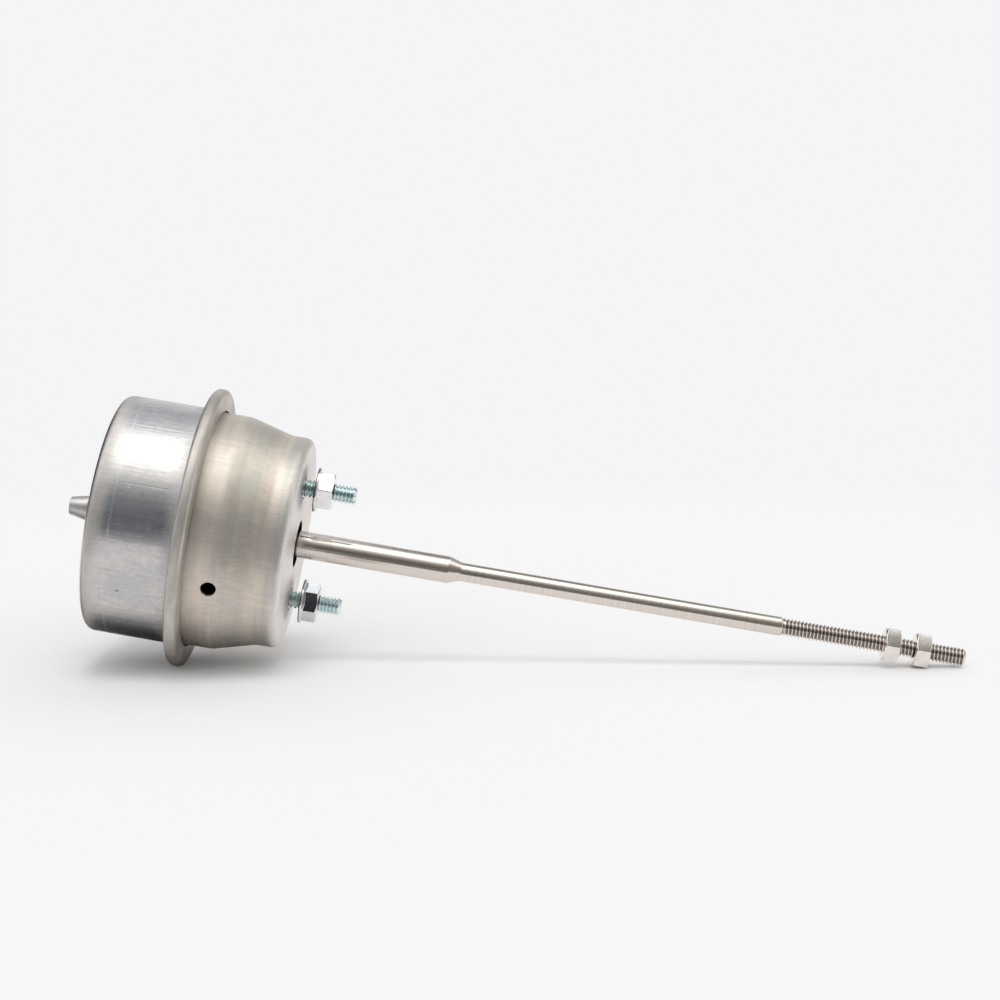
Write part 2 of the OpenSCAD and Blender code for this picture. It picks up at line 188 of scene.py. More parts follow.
# The table as metal reflects it: its colour, the dark room beyond it, and how far in front of
# the axis it ends, behind the can, by the rear can, and from the front can to the rod's tip
TABLE_IN_METAL = (0.87, 0.838, 0.825)
DARK_COOL = (0.115, 0.132, 0.165)
DARK_FRONT = (0.325, 0.303, 0.272)
DARK_WARM = (0.195, 0.180, 0.162)
BLACK = (0.012, 0.012, 0.018)
EDGE_BEHIND = 262.0
EDGE_BY_CAN = 412.0
EDGE_BY_ROD = 99.0

# What a reflection sees round the part's axis: angle above the front in degrees, and colour.
# The nodes hold colours divided by PEAK, because a ramp ends at 1
PEAK = 4.0
SURROUND = [
    (-180, (0.82, 0.82, 0.81)),
    (-176, (0.0, 0.0, 0.0)),
    (-20, (0.02, 0.02, 0.02)),
    (10, (0.0, 0.0, 0.0)),
    (24, (0.07, 0.07, 0.07)),
    (36, (0.25, 0.25, 0.25)),
    (44, (0.52, 0.51, 0.49)),
    (50, (0.80, 0.77, 0.72)),
    (56, (1.25, 1.18, 1.07)),
    (62, (1.80, 1.72, 1.60)),
    (66, (2.1, 2.05, 1.96)),
    (88, (2.1, 2.05, 1.96)),
    (94, (1.48, 1.43, 1.35)),
    (101, (0.88, 0.88, 0.88)),
    (110, (0.70, 0.70, 0.71)),
    (124, (0.46, 0.46, 0.46)),
    (140, (0.42, 0.42, 0.42)),
    (154, (0.68, 0.665, 0.645)),
    (180, (0.70, 0.685, 0.665)),
]


# Outlines and grids


def arc(cx, cr, radius, a0, a1, steps):
    """Points (x, r) of an arc: centre plus radius times (sin a, cos a), a in degrees."""
    a = np.radians(np.linspace(a0, a1, steps))
    return np.stack([cx + radius * np.sin(a), cr + radius * np.cos(a)], 1)


def line(x0, r0, x1, r1, steps):
    """Points (x, r) evenly spaced on a straight line, its ends left out."""
    t = np.linspace(0, 1, steps + 2)[1:-1, None]
    return np.array([[x0, r0]]) * (1 - t) + np.array([[x1, r1]]) * t


def refined(profile_a, profile_b, longest):
    """Two matching outlines, with every step of the first split evenly until none is longer
    than longest gives for its middle, and the second split at the same shares."""
    out_a, out_b = [profile_a[0]], [profile_b[0]]
    for k in range(1, len(profile_a)):
        length = np.linalg.norm(profile_a[k] - profile_a[k - 1])
        middle = (profile_a[k] + profile_a[k - 1]) / 2
        count = max(1, int(math.ceil(length / longest(middle))))
        for t in np.arange(1, count + 1) / count:
            out_a.append(profile_a[k - 1] * (1 - t) + profile_a[k] * t)
            out_b.append(profile_b[k - 1] * (1 - t) + profile_b[k] * t)
    return np.array(out_a), np.array(out_b)


def round_angles(steps):
    """Even angles all the way round, in radians."""
    return np.linspace(0, 2 * math.pi, steps, endpoint=False)


def dense_angles(steps, zones):
    """Even angles all the way round, with closer ones in each zone (from, to, step) in degrees."""
    base = list(np.linspace(0, 360, steps, endpoint=False))
    for low, high, step in zones:
        base = [a for a in base if not low - 0.6 * step < a < high + 0.6 * step]
        base += list(np.linspace(low, high, int(round((high - low) / step)) + 1))
    return np.radians(np.array(sorted(base)))


def turned(profile, angles):
    """Points (x, r cos a, r sin a) for each profile point (x, r) and each angle a."""
    x, r = profile[:, 0:1], profile[:, 1:2]
    return np.stack([x + 0 * angles, r * np.cos(angles), r * np.sin(angles)], axis=2)


# Meshes


def put_mesh(name, verts, faces, body, finish, sharp=32.0):
    """Makes an object of points in millimetres, with smooth shading and sharp edges by angle."""
    mesh = bpy.data.meshes.new(name)
    mesh.from_pydata((np.asarray(verts) * MM).tolist(), [], faces)
    mesh.update()
    piece = bpy.data.objects.new(name, mesh)
    bpy.context.scene.collection.objects.link(piece)
    mesh.polygons.foreach_set("use_smooth", np.ones(len(mesh.polygons), bool))
    if sharp:
        mesh.set_sharp_from_angle(angle=math.radians(sharp))
    mesh.materials.append(finish)
    if body:
        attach(piece, body)
    return piece


def loop_faces(rows, columns, closed):
    """Quads of a grid that wraps round its columns, and round its rows where closed."""
    i = np.arange(rows if closed else rows - 1)[:, None]
    j = np.arange(columns)[None, :]
    i2, j2 = (i + 1) % rows, (j + 1) % columns
    quads = np.stack(
        [i * columns + j, i2 * columns + j, i2 * columns + j2, i * columns + j2], axis=2
    )
    return quads.reshape(-1, 4)


def outward(verts, faces):
    """Turns every face round where the volume that they enclose comes out negative."""
    v = np.asarray(verts)
    total = 0.0
    for count in (3, 4):
        some = np.array([f for f in faces if len(f) == count])
        if len(some):
            a = v[some[:, 0]]
            for k in range(1, count - 1):
                total += np.einsum("ij,ij->", a, np.cross(v[some[:, k]], v[some[:, k + 1]]))
    return [tuple(f) for f in faces] if total > 0 else [tuple(f[::-1]) for f in faces]


def ring_piece(name, profile, body, finish, steps=128, sharp=32.0):
    """A ring: its closed profile turned round the axis."""
    profile = np.asarray(profile, float)
    verts = turned(profile, round_angles(steps)).reshape(-1, 3)
    faces = loop_faces(len(profile), steps, True).tolist()
    return put_mesh(name, verts, outward(verts, faces), body, finish, sharp)


def solid_grid(points):
    """Closes a grid of rows round the axis with one point at each end, and gives its faces."""
    rows, columns = points.shape[:2]
    verts = points.reshape(-1, 3)
    ends = np.array([points[0].mean(0), points[-1].mean(0)])
    first = len(verts)
    last = (rows - 1) * columns
    faces = loop_faces(rows, columns, False).tolist()
    for j in range(columns):
        k = (j + 1) % columns
        faces.append([first, j, k])
        faces.append([first + 1, last + k, last + j])
    verts = np.concatenate([verts, ends])
    return verts, outward(verts, faces)


def sheet_faces(keep):
    """Faces of a sheet with two grids of points, the outer and then the inner one.

    keep says which cells of the grid are metal. Every border of the metal, at the sheet's
    ends and at its holes, is closed by quads between the two grids."""
    rows, columns = keep.shape[0] + 1, keep.shape[1]
    layer = rows * columns
    quads = loop_faces(rows, columns, False).reshape(rows - 1, columns, 4)[keep]
    starts = quads.reshape(-1)
    stops = np.roll(quads, -1, axis=1).reshape(-1)
    code = starts.astype(np.int64) * layer + stops
    back = stops.astype(np.int64) * layer + starts
    border = ~np.isin(code, back)
    a, b = starts[border], stops[border]
    walls = np.stack([b, a, a + layer, b + layer], 1)
    return np.concatenate([quads, quads[:, ::-1] + layer, walls]).tolist()


def compact(verts, faces):
    """Drops the points that no face uses."""
    faces = np.array(faces)
    ids, flat = np.unique(faces, return_inverse=True)
    return verts[ids], flat.reshape(faces.shape).tolist()


def sheet_piece(name, outer, inner, body, slot, finish, keep=None, sharp=32.0):
    """A turned sheet between its outer and inner grids, whole or with the cells that keep leaves."""
    if keep is None:
        keep = np.ones((outer.shape[0] - 1, outer.shape[1]), bool)
    verts = np.concatenate([outer.reshape(-1, 3), inner.reshape(-1, 3)])
    used, faces = compact(verts, sheet_faces(keep))
    return put_mesh(name, used, outward(used, faces), body, finish, sharp)


# Node trees


class Wire:
    """A value or colour on a node's output. Sums, products and powers of values add Math nodes."""

    def __init__(self, finish, socket):
        self.finish = finish
        self.socket = socket

    def __add__(self, other):
        return self.finish.math("ADD", self, other)

    def __radd__(self, other):
        return self.finish.math("ADD", other, self)

    def __sub__(self, other):
        return self.finish.math("SUBTRACT", self, other)

    def __rsub__(self, other):
        return self.finish.math("SUBTRACT", other, self)

    def __mul__(self, other):
        return self.finish.math("MULTIPLY", self, other)

    def __rmul__(self, other):
        return self.finish.math("MULTIPLY", other, self)

    def __truediv__(self, other):
        return self.finish.math("DIVIDE", self, other)

    def __pow__(self, other):
        return self.finish.math("POWER", self, other)


class Finish:
    """The emptied node tree of a material or of the world, and short ways to add nodes to it."""

    def __init__(self, owner):
        owner.use_nodes = True
        self.tree = owner.node_tree
        self.tree.nodes.clear()

    def add(self, kind, out=0, settings=None, **sockets):
        """A node of a type: its settings first, then the values or links of its sockets.

        A socket goes by its name or by s and its index. A ramp's stops are (place, colour)."""
        node = self.tree.nodes.new(kind)
        for key, value in (settings or {}).items():
            if key == "stops":
                self.put_stops(node.color_ramp.elements, value)
            else:
                setattr(node, key, value)
        for key, value in sockets.items():
            index = int(key[1:]) if key[0] == "s" and key[1:].isdigit() else key.replace("_", " ")
            self.feed(node.inputs[index], value)
        return Wire(self, node.outputs[out]) if node.outputs else None

    def put_stops(self, points, stops):
        """Gives a ramp's points the places and colours of the stops, with new points as needed."""
        while len(points) < len(stops):
            points.new(0.5)
        for point, (place, colour) in zip(points, stops):
            point.position = place
            point.color = (*colour, 1.0)

    def feed(self, socket, value):
        """Links a wire to a socket, or sets the socket's own value."""
        if isinstance(value, Wire):
            self.tree.links.new(value.socket, socket)
        elif socket.type == "RGBA":
            socket.default_value = (*value, 1.0)
        else:
            socket.default_value = value

    def math(self, operation, *values):
        """A Math node with an operation on its values."""
        sockets = {f"s{k}": value for k, value in enumerate(values)}
        return self.add("ShaderNodeMath", settings={"operation": operation}, **sockets)

    def most(self, first, second):
        """The larger of two values."""
        return self.math("MAXIMUM", first, second)

    def steps(self, value, low, high, to_low=0.0, to_high=1.0):
        """A smooth step of a value from low to high."""
        return self.add(
            "ShaderNodeMapRange",
            settings={"interpolation_type": "SMOOTHSTEP"},
            s0=value,
            s1=low,
            s2=high,
            s3=to_low,
            s4=to_high,
        )

    def band(self, value, start, full, fall, end):
        """1 from full to fall, with a smooth step up from start and a smooth step down to end."""
        return self.steps(value, start, full) * self.steps(value, fall, end, 1.0, 0.0)

    def ramp(self, value, stops):
        """Colour of a value by stops (place, colour)."""
        return self.add("ShaderNodeValToRGB", settings={"stops": stops}, s0=value)

    def blend(self, factor, first, second):
        """The colour first where factor is 0 and second where it is 1."""
        return self.add(
            "ShaderNodeMix", out=2, settings={"data_type": "RGBA"}, s0=factor, s6=first, s7=second
        )

    def vectors(self, operation, first, second):
        """A Vector Math node with an operation on two colours."""
        settings = {"operation": operation}
        return self.add("ShaderNodeVectorMath", settings=settings, s0=first, s1=second)

    def noise(self, spot, along, across, detail, rough):
        """Noise with along cells a metre on the axis and across cells a metre beside it."""
        scaled = self.add("ShaderNodeMapping", Vector=spot, Scale=(along, across, across))
        values = {"Scale": 1.0, "Detail": detail, "Roughness": rough}
        return self.add("ShaderNodeTexNoise", Vector=scaled, **values)

    def numbers(self, vector):
        """The three numbers of a vector."""
        first = self.add("ShaderNodeSeparateXYZ", s0=vector)
        return [Wire(self, socket) for socket in first.socket.node.outputs]

    def place(self):
        """Object coordinates, and their three numbers in millimetres."""
        spot = self.add("ShaderNodeTexCoord", out="Object")
        return spot, [number * 1000.0 for number in self.numbers(spot)]

    def rays(self):
        """1 for rays from the camera, and 1 for rays that metal reflects."""
        seen = self.add("ShaderNodeLightPath", out="Is Camera Ray")
        return seen, Wire(self, seen.socket.node.outputs["Is Glossy Ray"])


# Finishes


def metal(name, tint, rough, grain, bump_strength=0.3, metallic=1.0):
    """A finish. tint, rough and grain are functions of its Finish that give the colour, the
    roughness, and the height of the bumps in tenths of a millimetre."""
    material = bpy.data.materials.new(name)
    f = Finish(material)
    spot, xyz = f.place()
    bump = f.add(
        "ShaderNodeBump", Strength=bump_strength, Distance=0.1 * MM, Height=grain(f, spot, xyz)
    )
    shader = f.add(
        "ShaderNodeBsdfPrincipled",
        Base_Color=tint(f, spot, xyz),
        Metallic=metallic,
        Roughness=rough(f, spot, xyz),
        Normal=bump,
    )
    f.add("ShaderNodeOutputMaterial", Surface=shader)
    return material


def radius_of(a, b):
    """Distance of a point (a, b) from (0, 0): the root of a squared plus b squared."""
    return (a**2.0 + b**2.0) ** 0.5


def axial_line(f, xyz, elevation, half_width):
    """1 on a line along the axis at an angle above the front in degrees, 0 beside it."""
    x, y, z = xyz
    around = f.math("ARCTAN2", z, y * -1.0) * (180.0 / math.pi)
    beside = f.math("ABSOLUTE", around - elevation)
    return f.steps(beside, 0.0, half_width, 1.0, 0.0) * f.band(x, -58.5, -54.0, -42.0, -39.0)


def speck(f, xyz, x0, elevation, radius, wall_r):
    """1 on a round mark on a can's wall, at a station and an angle above the front in degrees."""
    x, y, z = xyz
    aside = x - x0
    side_y = y + wall_r * math.cos(math.radians(elevation))
    side_z = z - wall_r * math.sin(math.radians(elevation))
    distance = (aside**2.0 + side_y**2.0 + side_z**2.0) ** 0.5
    return f.steps(distance, 0.4 * radius, radius, 1.0, 0.0)


def rear_seam(f, xyz):
    """1 on the faint ring left by the drawing tool, 0 beside it."""
    return f.steps(f.math("ABSOLUTE", xyz[0] + 58.0), 0.1, 0.6, 1.0, 0.0)


def rear_tint(f, spot, xyz):
    """Cool steel between two greys by streaks along the axis, clouds and mottles, warmer towards
    the end, with the drawing ring, a dark and a bright speck, and painted shade in the crease
    by the crimped ring."""
    streak = f.noise(spot, 22.0, 1100.0, 3.0, 0.6)
    cloud = f.noise(spot, 60.0, 90.0, 3.0, 0.55)
    mottle = f.noise(spot, 480.0, 760.0, 3.0, 0.7)
    mask = f.steps(streak * 0.36 + cloud * 0.28 + mottle * 0.36, 0.40, 0.60)
    mask = 0.5 + (mask - 0.5) * f.steps(xyz[0], -66.2, -64.5, 0.3, 1.0)
    plain = f.blend(mask, (0.545, 0.553, 0.572), (0.70, 0.69, 0.68))
    warm = f.steps(xyz[0] + cloud * 6.0, -60.5, -54.5, 1.0, 0.0)
    plain = f.blend(warm * 0.5, plain, (0.70, 0.665, 0.625))
    plain = f.blend(rear_seam(f, xyz) * 0.3, plain, (0.80, 0.80, 0.80))
    plain = f.blend(speck(f, xyz, -53.1, -28.5, 0.55, REAR_R), plain, (0.16, 0.15, 0.15))
    plain = f.blend(speck(f, xyz, -53.8, 22.0, 0.5, REAR_R), plain, (0.95, 0.95, 0.95))
    # Painted shade in the crease where the rear can meets the crimped ring
    return f.blend(f.steps(xyz[0], -36.85, -36.4), plain, (0.22, 0.20, 0.19))


def rear_rough(f, spot, xyz):
    """Polished, with a little noise, and matt in a band by the end and in one by the flange."""
    streak = f.noise(spot, 10.0, 1300.0, 2.0, 0.6)
    cloud = f.noise(spot, 45.0, 45.0, 2.0, 0.5)
    mottle = f.noise(spot, 300.0, 380.0, 3.0, 0.6)
    place = xyz[0] + cloud * 5.0 - 2.5 + streak * 2.0
    matt = 0.34 * f.steps(place, -63.5, -57.5, 1.0, 0.0) * f.steps(xyz[0], -66.2, -64.2)
    matt = matt + 0.22 * f.steps(place, -41.0, -35.5)
    return 0.14 + 0.07 * streak + 0.08 * cloud + 0.08 * mottle + matt + 0.08 * rear_seam(f, xyz)


def rear_grain(f, spot, xyz):
    """Fine and broad streaks along the axis, faint rings, pits, and two long scratches."""
    fine = f.noise(spot, 14.0, 2600.0, 3.0, 0.7)
    broad = f.noise(spot, 6.0, 420.0, 2.0, 0.6)
    rings = f.noise(spot, 900.0, 3.0, 2.0, 0.6)
    pits = f.noise(spot, 1400.0, 2200.0, 2.0, 0.6)
    scratch = 1.8 * axial_line(f, xyz, 57.0, 0.6) - 0.9 * axial_line(f, xyz, 24.0, 0.6)
    return fine + 0.8 * broad + 0.35 * rings + 0.3 * pits + scratch


def front_tint(f, spot, xyz):
    """Warm steel by zones along the axis, times a tone of rings, streaks and clouds, with
    smudges and a pale speck, and painted shade in black on the wall of the rod's hole and a
    narrow rim round it."""
    rings = f.noise(spot, 420.0, 14.0, 3.0, 0.65)
    streak = f.noise(spot, 30.0, 1100.0, 3.0, 0.65)
    cloud = f.noise(spot, 90.0, 60.0, 3.0, 0.55)
    mask = f.steps(rings * 0.34 + streak * 0.38 + cloud * 0.28, 0.41, 0.59)
    zones = [(x / FRONT_SPAN + 1.0, colour) for x, colour in FRONT_ZONES_AND_CREASE_SHADE]
    plain = f.ramp(xyz[0] / FRONT_SPAN + 1.0, zones)
    tone = f.blend(mask, (0.90, 0.905, 0.91), (1.08, 1.07, 1.055))
    toned = f.vectors("MULTIPLY", plain, tone)
    smudge = f.steps(cloud, 0.56, 0.70)
    toned = f.blend(smudge * 0.4, toned, (0.52, 0.53, 0.49))
    toned = f.blend(speck(f, xyz, -2.7, 43.0, 0.7, FACE_R - 0.5), toned, (0.95, 0.93, 0.90))
    # Painted shade: black on the wall of the rod's hole and a narrow rim round it
    outside = f.steps(radius_of(xyz[1], xyz[2]), ROD_HOLE_R + 0.05, ROD_HOLE_R + 0.35)
    return f.blend(outside, (0.01, 0.01, 0.01), toned)


def front_rough(f, spot, xyz):
    """Brushed: a middle roughness plus soft rings and clouds."""
    rings = f.noise(spot, 260.0, 4.0, 2.0, 0.6)
    cloud = f.noise(spot, 45.0, 30.0, 2.0, 0.5)
    return 0.36 + 0.09 * rings + 0.10 * cloud


def front_grain(f, spot, xyz):
    """Fine and broad streaks along the axis, crossed by the brush's rings."""
    fine = f.noise(spot, 14.0, 2300.0, 3.0, 0.7)
    rings = f.noise(spot, 1100.0, 5.0, 3.0, 0.6)
    broad = f.noise(spot, 7.0, 380.0, 2.0, 0.6)
    return fine + 0.9 * rings + 0.9 * broad


def ring_tint(f, spot, xyz):
    """Warm grey that clouds between two tones."""
    cloud = f.noise(spot, 160.0, 70.0, 4.0, 0.6)
    return f.blend(f.steps(cloud, 0.35, 0.65), (0.51, 0.488, 0.458), (0.64, 0.61, 0.578))


def ring_grain(f, spot, xyz):
    """Short marks, longer round the axis than along it."""
    return f.noise(spot, 900.0, 260.0, 4.0, 0.7)


def painted_groove_shade(f, distance, deep, bare):
    """Painted shade of a thread's grooves: 1 at its crests and on the bare ends, falling to 0.3 in
    its grooves.
    """
    return f.most(f.steps(distance, deep, 3.0, 0.3, 1.0), bare)


def rod_tint(f, spot, xyz):
    """Turned steel with fine rings, stronger on the thin part, and painted shade in the thread's
    grooves.
    """
    x, y, z = xyz
    rings = f.noise(spot, 900.0, 2.0, 3.0, 0.6)
    contrast = f.steps(x, 50.0, 58.0, 0.3, 1.0)
    mask = (f.steps(rings, 0.35, 0.65) - 0.5) * contrast + 0.5
    plain = f.blend(mask, (0.70, 0.655, 0.615), (0.78, 0.735, 0.69))
    bare = f.steps(x, THREAD_X - 1.0, THREAD_X + 0.5, 1.0, 0.0)
    bare = bare + f.steps(x, ROD_TIP_X - 0.9, ROD_TIP_X - 0.6)
    # Painted shade, dark brown, in the thread's grooves
    return f.blend(painted_groove_shade(f, radius_of(y, z), 2.35, bare), (0.13, 0.11, 0.10), plain)


def rod_grain(f, spot, xyz):
    """Very fine rings."""
    return f.noise(spot, 2600.0, 30.0, 3.0, 0.7)


def lathe_grain(f, spot, xyz):
    """Fine turning marks."""
    return f.noise(spot, 3000.0, 900.0, 2.0, 0.6)


def nut_grain(f, spot, xyz):
    """Fine turning marks over the slow waves of a flat cut on a bar."""
    return lathe_grain(f, spot, xyz) + 3.0 * f.noise(spot, 120.0, 330.0, 1.0, 0.5)


def wandering(f, spot, low, high):
    """A colour that wanders between two over a few millimetres."""
    cloud = f.noise(spot, 300.0, 300.0, 3.0, 0.6)
    return f.blend(f.steps(cloud, 0.35, 0.65), low, high)


def stud_tint(f, spot, xyz):
    """Blue-white plating, with painted shade in the thread's grooves. The side of the axis says
    which stud.
    """
    x, y, z = xyz
    side = f.math("SIGN", z)
    aside = y * side + STUD_CIRCLE_R * math.sin(STUD_TURN)
    above = z * side - STUD_CIRCLE_R * math.cos(STUD_TURN)
    plain = wandering(f, spot, (0.70, 0.85, 0.875), (0.86, 0.97, 0.985))
    bare = f.steps(x, STUD_LEN - 0.9, STUD_LEN - 0.6)
    # Painted shade in the thread's grooves
    return f.blend(painted_groove_shade(f, radius_of(aside, above), 2.4, bare), (0.52, 0.68, 0.71), plain)


def flange_nut_tint(f, spot, xyz):
    """Bright white-blue plating, with painted shade at the underside of the flange."""
    plain = wandering(f, spot, (0.80, 0.82, 0.84), (0.90, 0.915, 0.93))
    # Painted shade at the underside of the flange
    return f.blend(f.steps(xyz[0], STUD_NUT_X + 0.25, STUD_NUT_X + 0.5), (0.12, 0.12, 0.13), plain)


def cloudy(low, high):
    """A tint that wanders between two colours."""
    return lambda f, spot, xyz: wandering(f, spot, low, high)


def uneven(base, spread):
    """A roughness that wanders round a base value."""
    return lambda f, spot, xyz: base + spread * (f.noise(spot, 400.0, 400.0, 2.0, 0.6) - 0.5)


REAR_STEEL = metal("rear_steel", rear_tint, rear_rough, rear_grain, 0.22)
FRONT_STEEL = metal("front_steel", front_tint, front_rough, front_grain, 0.26, 0.88)
RING_STEEL = metal("ring_steel", ring_tint, uneven(0.46, 0.12), ring_grain, 0.3, 0.85)
ROD_STEEL = metal("rod_steel", rod_tint, uneven(0.14, 0.06), rod_grain, 0.16)
STUD_PLATING = metal("stud_plating", stud_tint, uneven(0.2, 0.1), lathe_grain, 0.15)
FLANGE_NUT_PLATING = metal(
    "flange_nut_plating", flange_nut_tint, uneven(0.07, 0.04), lathe_grain, 0.06
)
NUT_TINT = cloudy((0.80, 0.785, 0.755), (0.92, 0.90, 0.87))
NUT_PLATING = metal("nut_plating", NUT_TINT, uneven(0.13, 0.08), nut_grain, 0.14)
BARB_TINT = cloudy((0.57, 0.57, 0.565), (0.66, 0.66, 0.655))
BARB_METAL = metal("barb_metal", BARB_TINT, uneven(0.46, 0.1), lathe_grain, 0.2)
INNER_TINT = cloudy((0.40, 0.40, 0.40), (0.52, 0.52, 0.51))
INNER_STEEL = metal("inner_steel", INNER_TINT, uneven(0.35, 0.15), lathe_grain)
SPRING_TINT = cloudy((0.16, 0.16, 0.17), (0.24, 0.24, 0.25))
SPRING_STEEL = metal("spring_steel", SPRING_TINT, uneven(0.35, 0.15), lathe_grain)
RUBBER_TINT = cloudy((0.018, 0.018, 0.019), (0.03, 0.03, 0.031))
BLACK_RUBBER = metal("black_rubber", RUBBER_TINT, uneven(0.62, 0.15), ring_grain, metallic=0.0)
FABRIC_TINT = cloudy((0.022, 0.022, 0.023), (0.04, 0.039, 0.038))
DIAPHRAGM_RUBBER = metal(
    "diaphragm_rubber", FABRIC_TINT, uneven(0.6, 0.2), ring_grain, metallic=0.0
)


# The two cans and the crimped ring


def rear_outline(s):
    """Outline of the rear can at a depth s below its outer surface: end face from the barb's
    hole, corner, wall that widens by its draft, bend, flange."""
    draft = 0.18
    bend_x = FLANGE_BACK_X - FLANGE_BEND_R
    foot_x = REAR_X + 9.5
    wall_r = REAR_R - draft
    middle_r = REAR_R - 0.5 * draft
    parts = [
        np.array([[REAR_X + s, BARB_HOLE_R]]),
        line(REAR_X + s, BARB_HOLE_R, REAR_X + s, wall_r - CORNER_R, 16),
        arc(REAR_X + CORNER_R, wall_r - CORNER_R, CORNER_R - s, -90, 0, 14),
        line(REAR_X + CORNER_R, wall_r - s, foot_x, middle_r - s, 4),
        line(foot_x, middle_r - s, bend_x, REAR_R - s, 12),
        arc(bend_x, REAR_R + FLANGE_BEND_R, FLANGE_BEND_R + s, 180, 90, 8),
        line(FLANGE_BACK_X + s, REAR_R + FLANGE_BEND_R, FLANGE_BACK_X + s, FLANGE_R, 4),
        np.array([[FLANGE_BACK_X + s, FLANGE_R]]),
    ]
    return np.concatenate(parts)


def make_rear_can():
    """The rear can: its outline turned round the axis, with a wall of even thickness."""
    angles = round_angles(192)
    piece = sheet_piece(
        "rear_can_shell",
        turned(rear_outline(0.0), angles),
        turned(rear_outline(CAN_WALL), angles),
        "canister",
        "rear_steel",
        REAR_STEEL,
    )
    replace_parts(piece, "rear_can")


def front_outline(s):
    """Outline of the front can at a depth s: flange, bend, wall, cone between soft bends, corner,
    and face down to the rod's hole."""
    drop, cone, bend, straight = 3.9, 14.6, 8.0, 10.0
    slope = math.atan(drop / cone)
    degrees = math.degrees(slope)
    reach = bend * math.tan(slope / 2)
    cone_x = FLANGE_FRONT_X + straight
    flange_x = FLANGE_FRONT_X - s
    foot_r = FRONT_R + FLANGE_BEND_R
    parts = [
        np.array([[flange_x, FLANGE_R]]),
        line(flange_x, FLANGE_R, flange_x, foot_r, 4),
        arc(FLANGE_FRONT_X + FLANGE_BEND_R, foot_r, FLANGE_BEND_R + s, -90, -180, 8),
        arc(cone_x - reach, FRONT_R - bend, bend - s, 0, degrees, 8),
        arc(cone_x + cone + reach, FACE_R + bend, bend + s, 180 + degrees, 180, 8),
        arc(-CORNER_R, FACE_R - CORNER_R, CORNER_R - s, 0, 90, 14),
        np.array([[-s, ROD_HOLE_R]]),
    ]
    return np.concatenate(parts)


def front_step(point):
    """The longest step of the front can's outline: short by the breather hole and the studs."""
    x, r = point
    close, wide = 0.3, 1.5
    by_vent = abs(x - VENT_X) < 4
    by_studs = x > -1.5 and 15 < r < 27
    return close if by_vent or by_studs else wide


def open_hole(grids, keep, flat, centre, radius, back):
    """Cuts a round hole. flat gives each grid point two coordinates, and back puts such a pair
    on the sheet at a depth.

    Cells that lie inside the circle go, and the points on their border move onto the circle."""
    offset = flat - centre
    distance = np.linalg.norm(offset, axis=2)
    inside = distance < radius
    j2 = np.roll(np.arange(inside.shape[1]), -1)
    cell = inside[:-1] & inside[1:] & inside[:-1, j2] & inside[1:, j2]
    keep &= ~cell
    beside = np.roll(cell, 1, axis=1)
    touched = np.zeros_like(inside)
    full = np.ones_like(inside)
    for rows in (slice(None, -1), slice(1, None)):
        touched[rows] |= cell | beside
        full[rows] &= cell & beside
    border = touched & ~full
    moved = centre + offset / np.maximum(distance, 1e-9)[..., None] * radius
    for grid, depth in zip(grids, (0.0, CAN_WALL)):
        grid[border] = back(moved[border], depth)


def stud_centre(side):
    """Place (y, z) of the upper stud for 1 and of the lower stud for -1."""
    return side * STUD_CIRCLE_R * np.array([-math.sin(STUD_TURN), math.cos(STUD_TURN)])


def open_vent(grids, keep, outer, angles):
    """Cuts the breather hole: its coordinates are x and the arc length from the hole's angle."""
    back_x, front_x = -31.0, -6.0
    wall = (outer[:, 0] > back_x) & (outer[:, 0] < front_x)
    around = (angles[None, :] - VENT_ANGLE) * outer[:, 1:2]
    flat = np.stack([outer[:, 0:1] + 0 * angles, around], 2)
    flat[~wall] = FAR

    def on_wall(point, depth):
        r = np.interp(point[:, 0], outer[wall, 0], outer[wall, 1])
        a = VENT_ANGLE + point[:, 1] / r
        return np.stack([point[:, 0], (r - depth) * np.cos(a), (r - depth) * np.sin(a)], 1)

    open_hole(grids, keep, flat, np.array([VENT_X, 0.0]), VENT_R, on_wall)


def open_stud_hole(grids, keep, outer, side):
    """Cuts a stud's hole: its coordinates are y and z in the face."""
    flat = grids[0][..., 1:].copy()
    flat[outer[:, 0] < -1e-6] = FAR

    def on_face(point, depth):
        return np.column_stack([np.full(len(point), -depth), point])

    open_hole(grids, keep, flat, stud_centre(side), STUD_HOLE_R, on_face)


def make_front_can():
    """The front can: its outline turned round the axis, with closer rows and columns by its
    holes, and then the breather hole and the two stud holes cut."""
    outer, inner = refined(front_outline(0.0), front_outline(CAN_WALL), front_step)
    vent = math.degrees(VENT_ANGLE)
    upper = 90 + math.degrees(STUD_TURN)
    by_vent, by_stud = 5, 13
    zones = [(vent - by_vent, vent + by_vent, 0.4)]
    zones += [(stud - by_stud, stud + by_stud, 0.7) for stud in (upper, upper + 180)]
    angles = dense_angles(192, zones)
    grids = [turned(outer, angles), turned(inner, angles)]
    keep = np.ones((len(outer) - 1, len(angles)), bool)
    open_vent(grids, keep, outer, angles)
    for side in (1, -1):
        open_stud_hole(grids, keep, outer, side)
    piece = sheet_piece("front_can_shell", *grids, "canister", "front_steel", FRONT_STEEL, keep)
    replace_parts(piece, "front_can")


def ring_outline(s):
    """Outline of the crimped ring at a depth s: a leg behind the flanges, a crest round them and
    a leg in front, with lips that follow the cans' bends."""
    back_x = FLANGE_BACK_X - RING_WALL
    front_x = FLANGE_FRONT_X + RING_WALL
    crest_r = RING_R - RING_CORNER_R
    lip = RING_GAP - RING_LIP * (1 - s / RING_WALL)
    parts = [
        np.array([[back_x + s, REAR_R + FLANGE_BEND_R + lip]]),
        arc(back_x + RING_CORNER_R, crest_r, RING_CORNER_R - s, -90, 0, 12),
        arc(front_x - RING_CORNER_R, crest_r, RING_CORNER_R - s, 0, 90, 12),
        np.array([[front_x - s, FRONT_R + FLANGE_BEND_R + lip]]),
    ]
    return np.concatenate(parts)


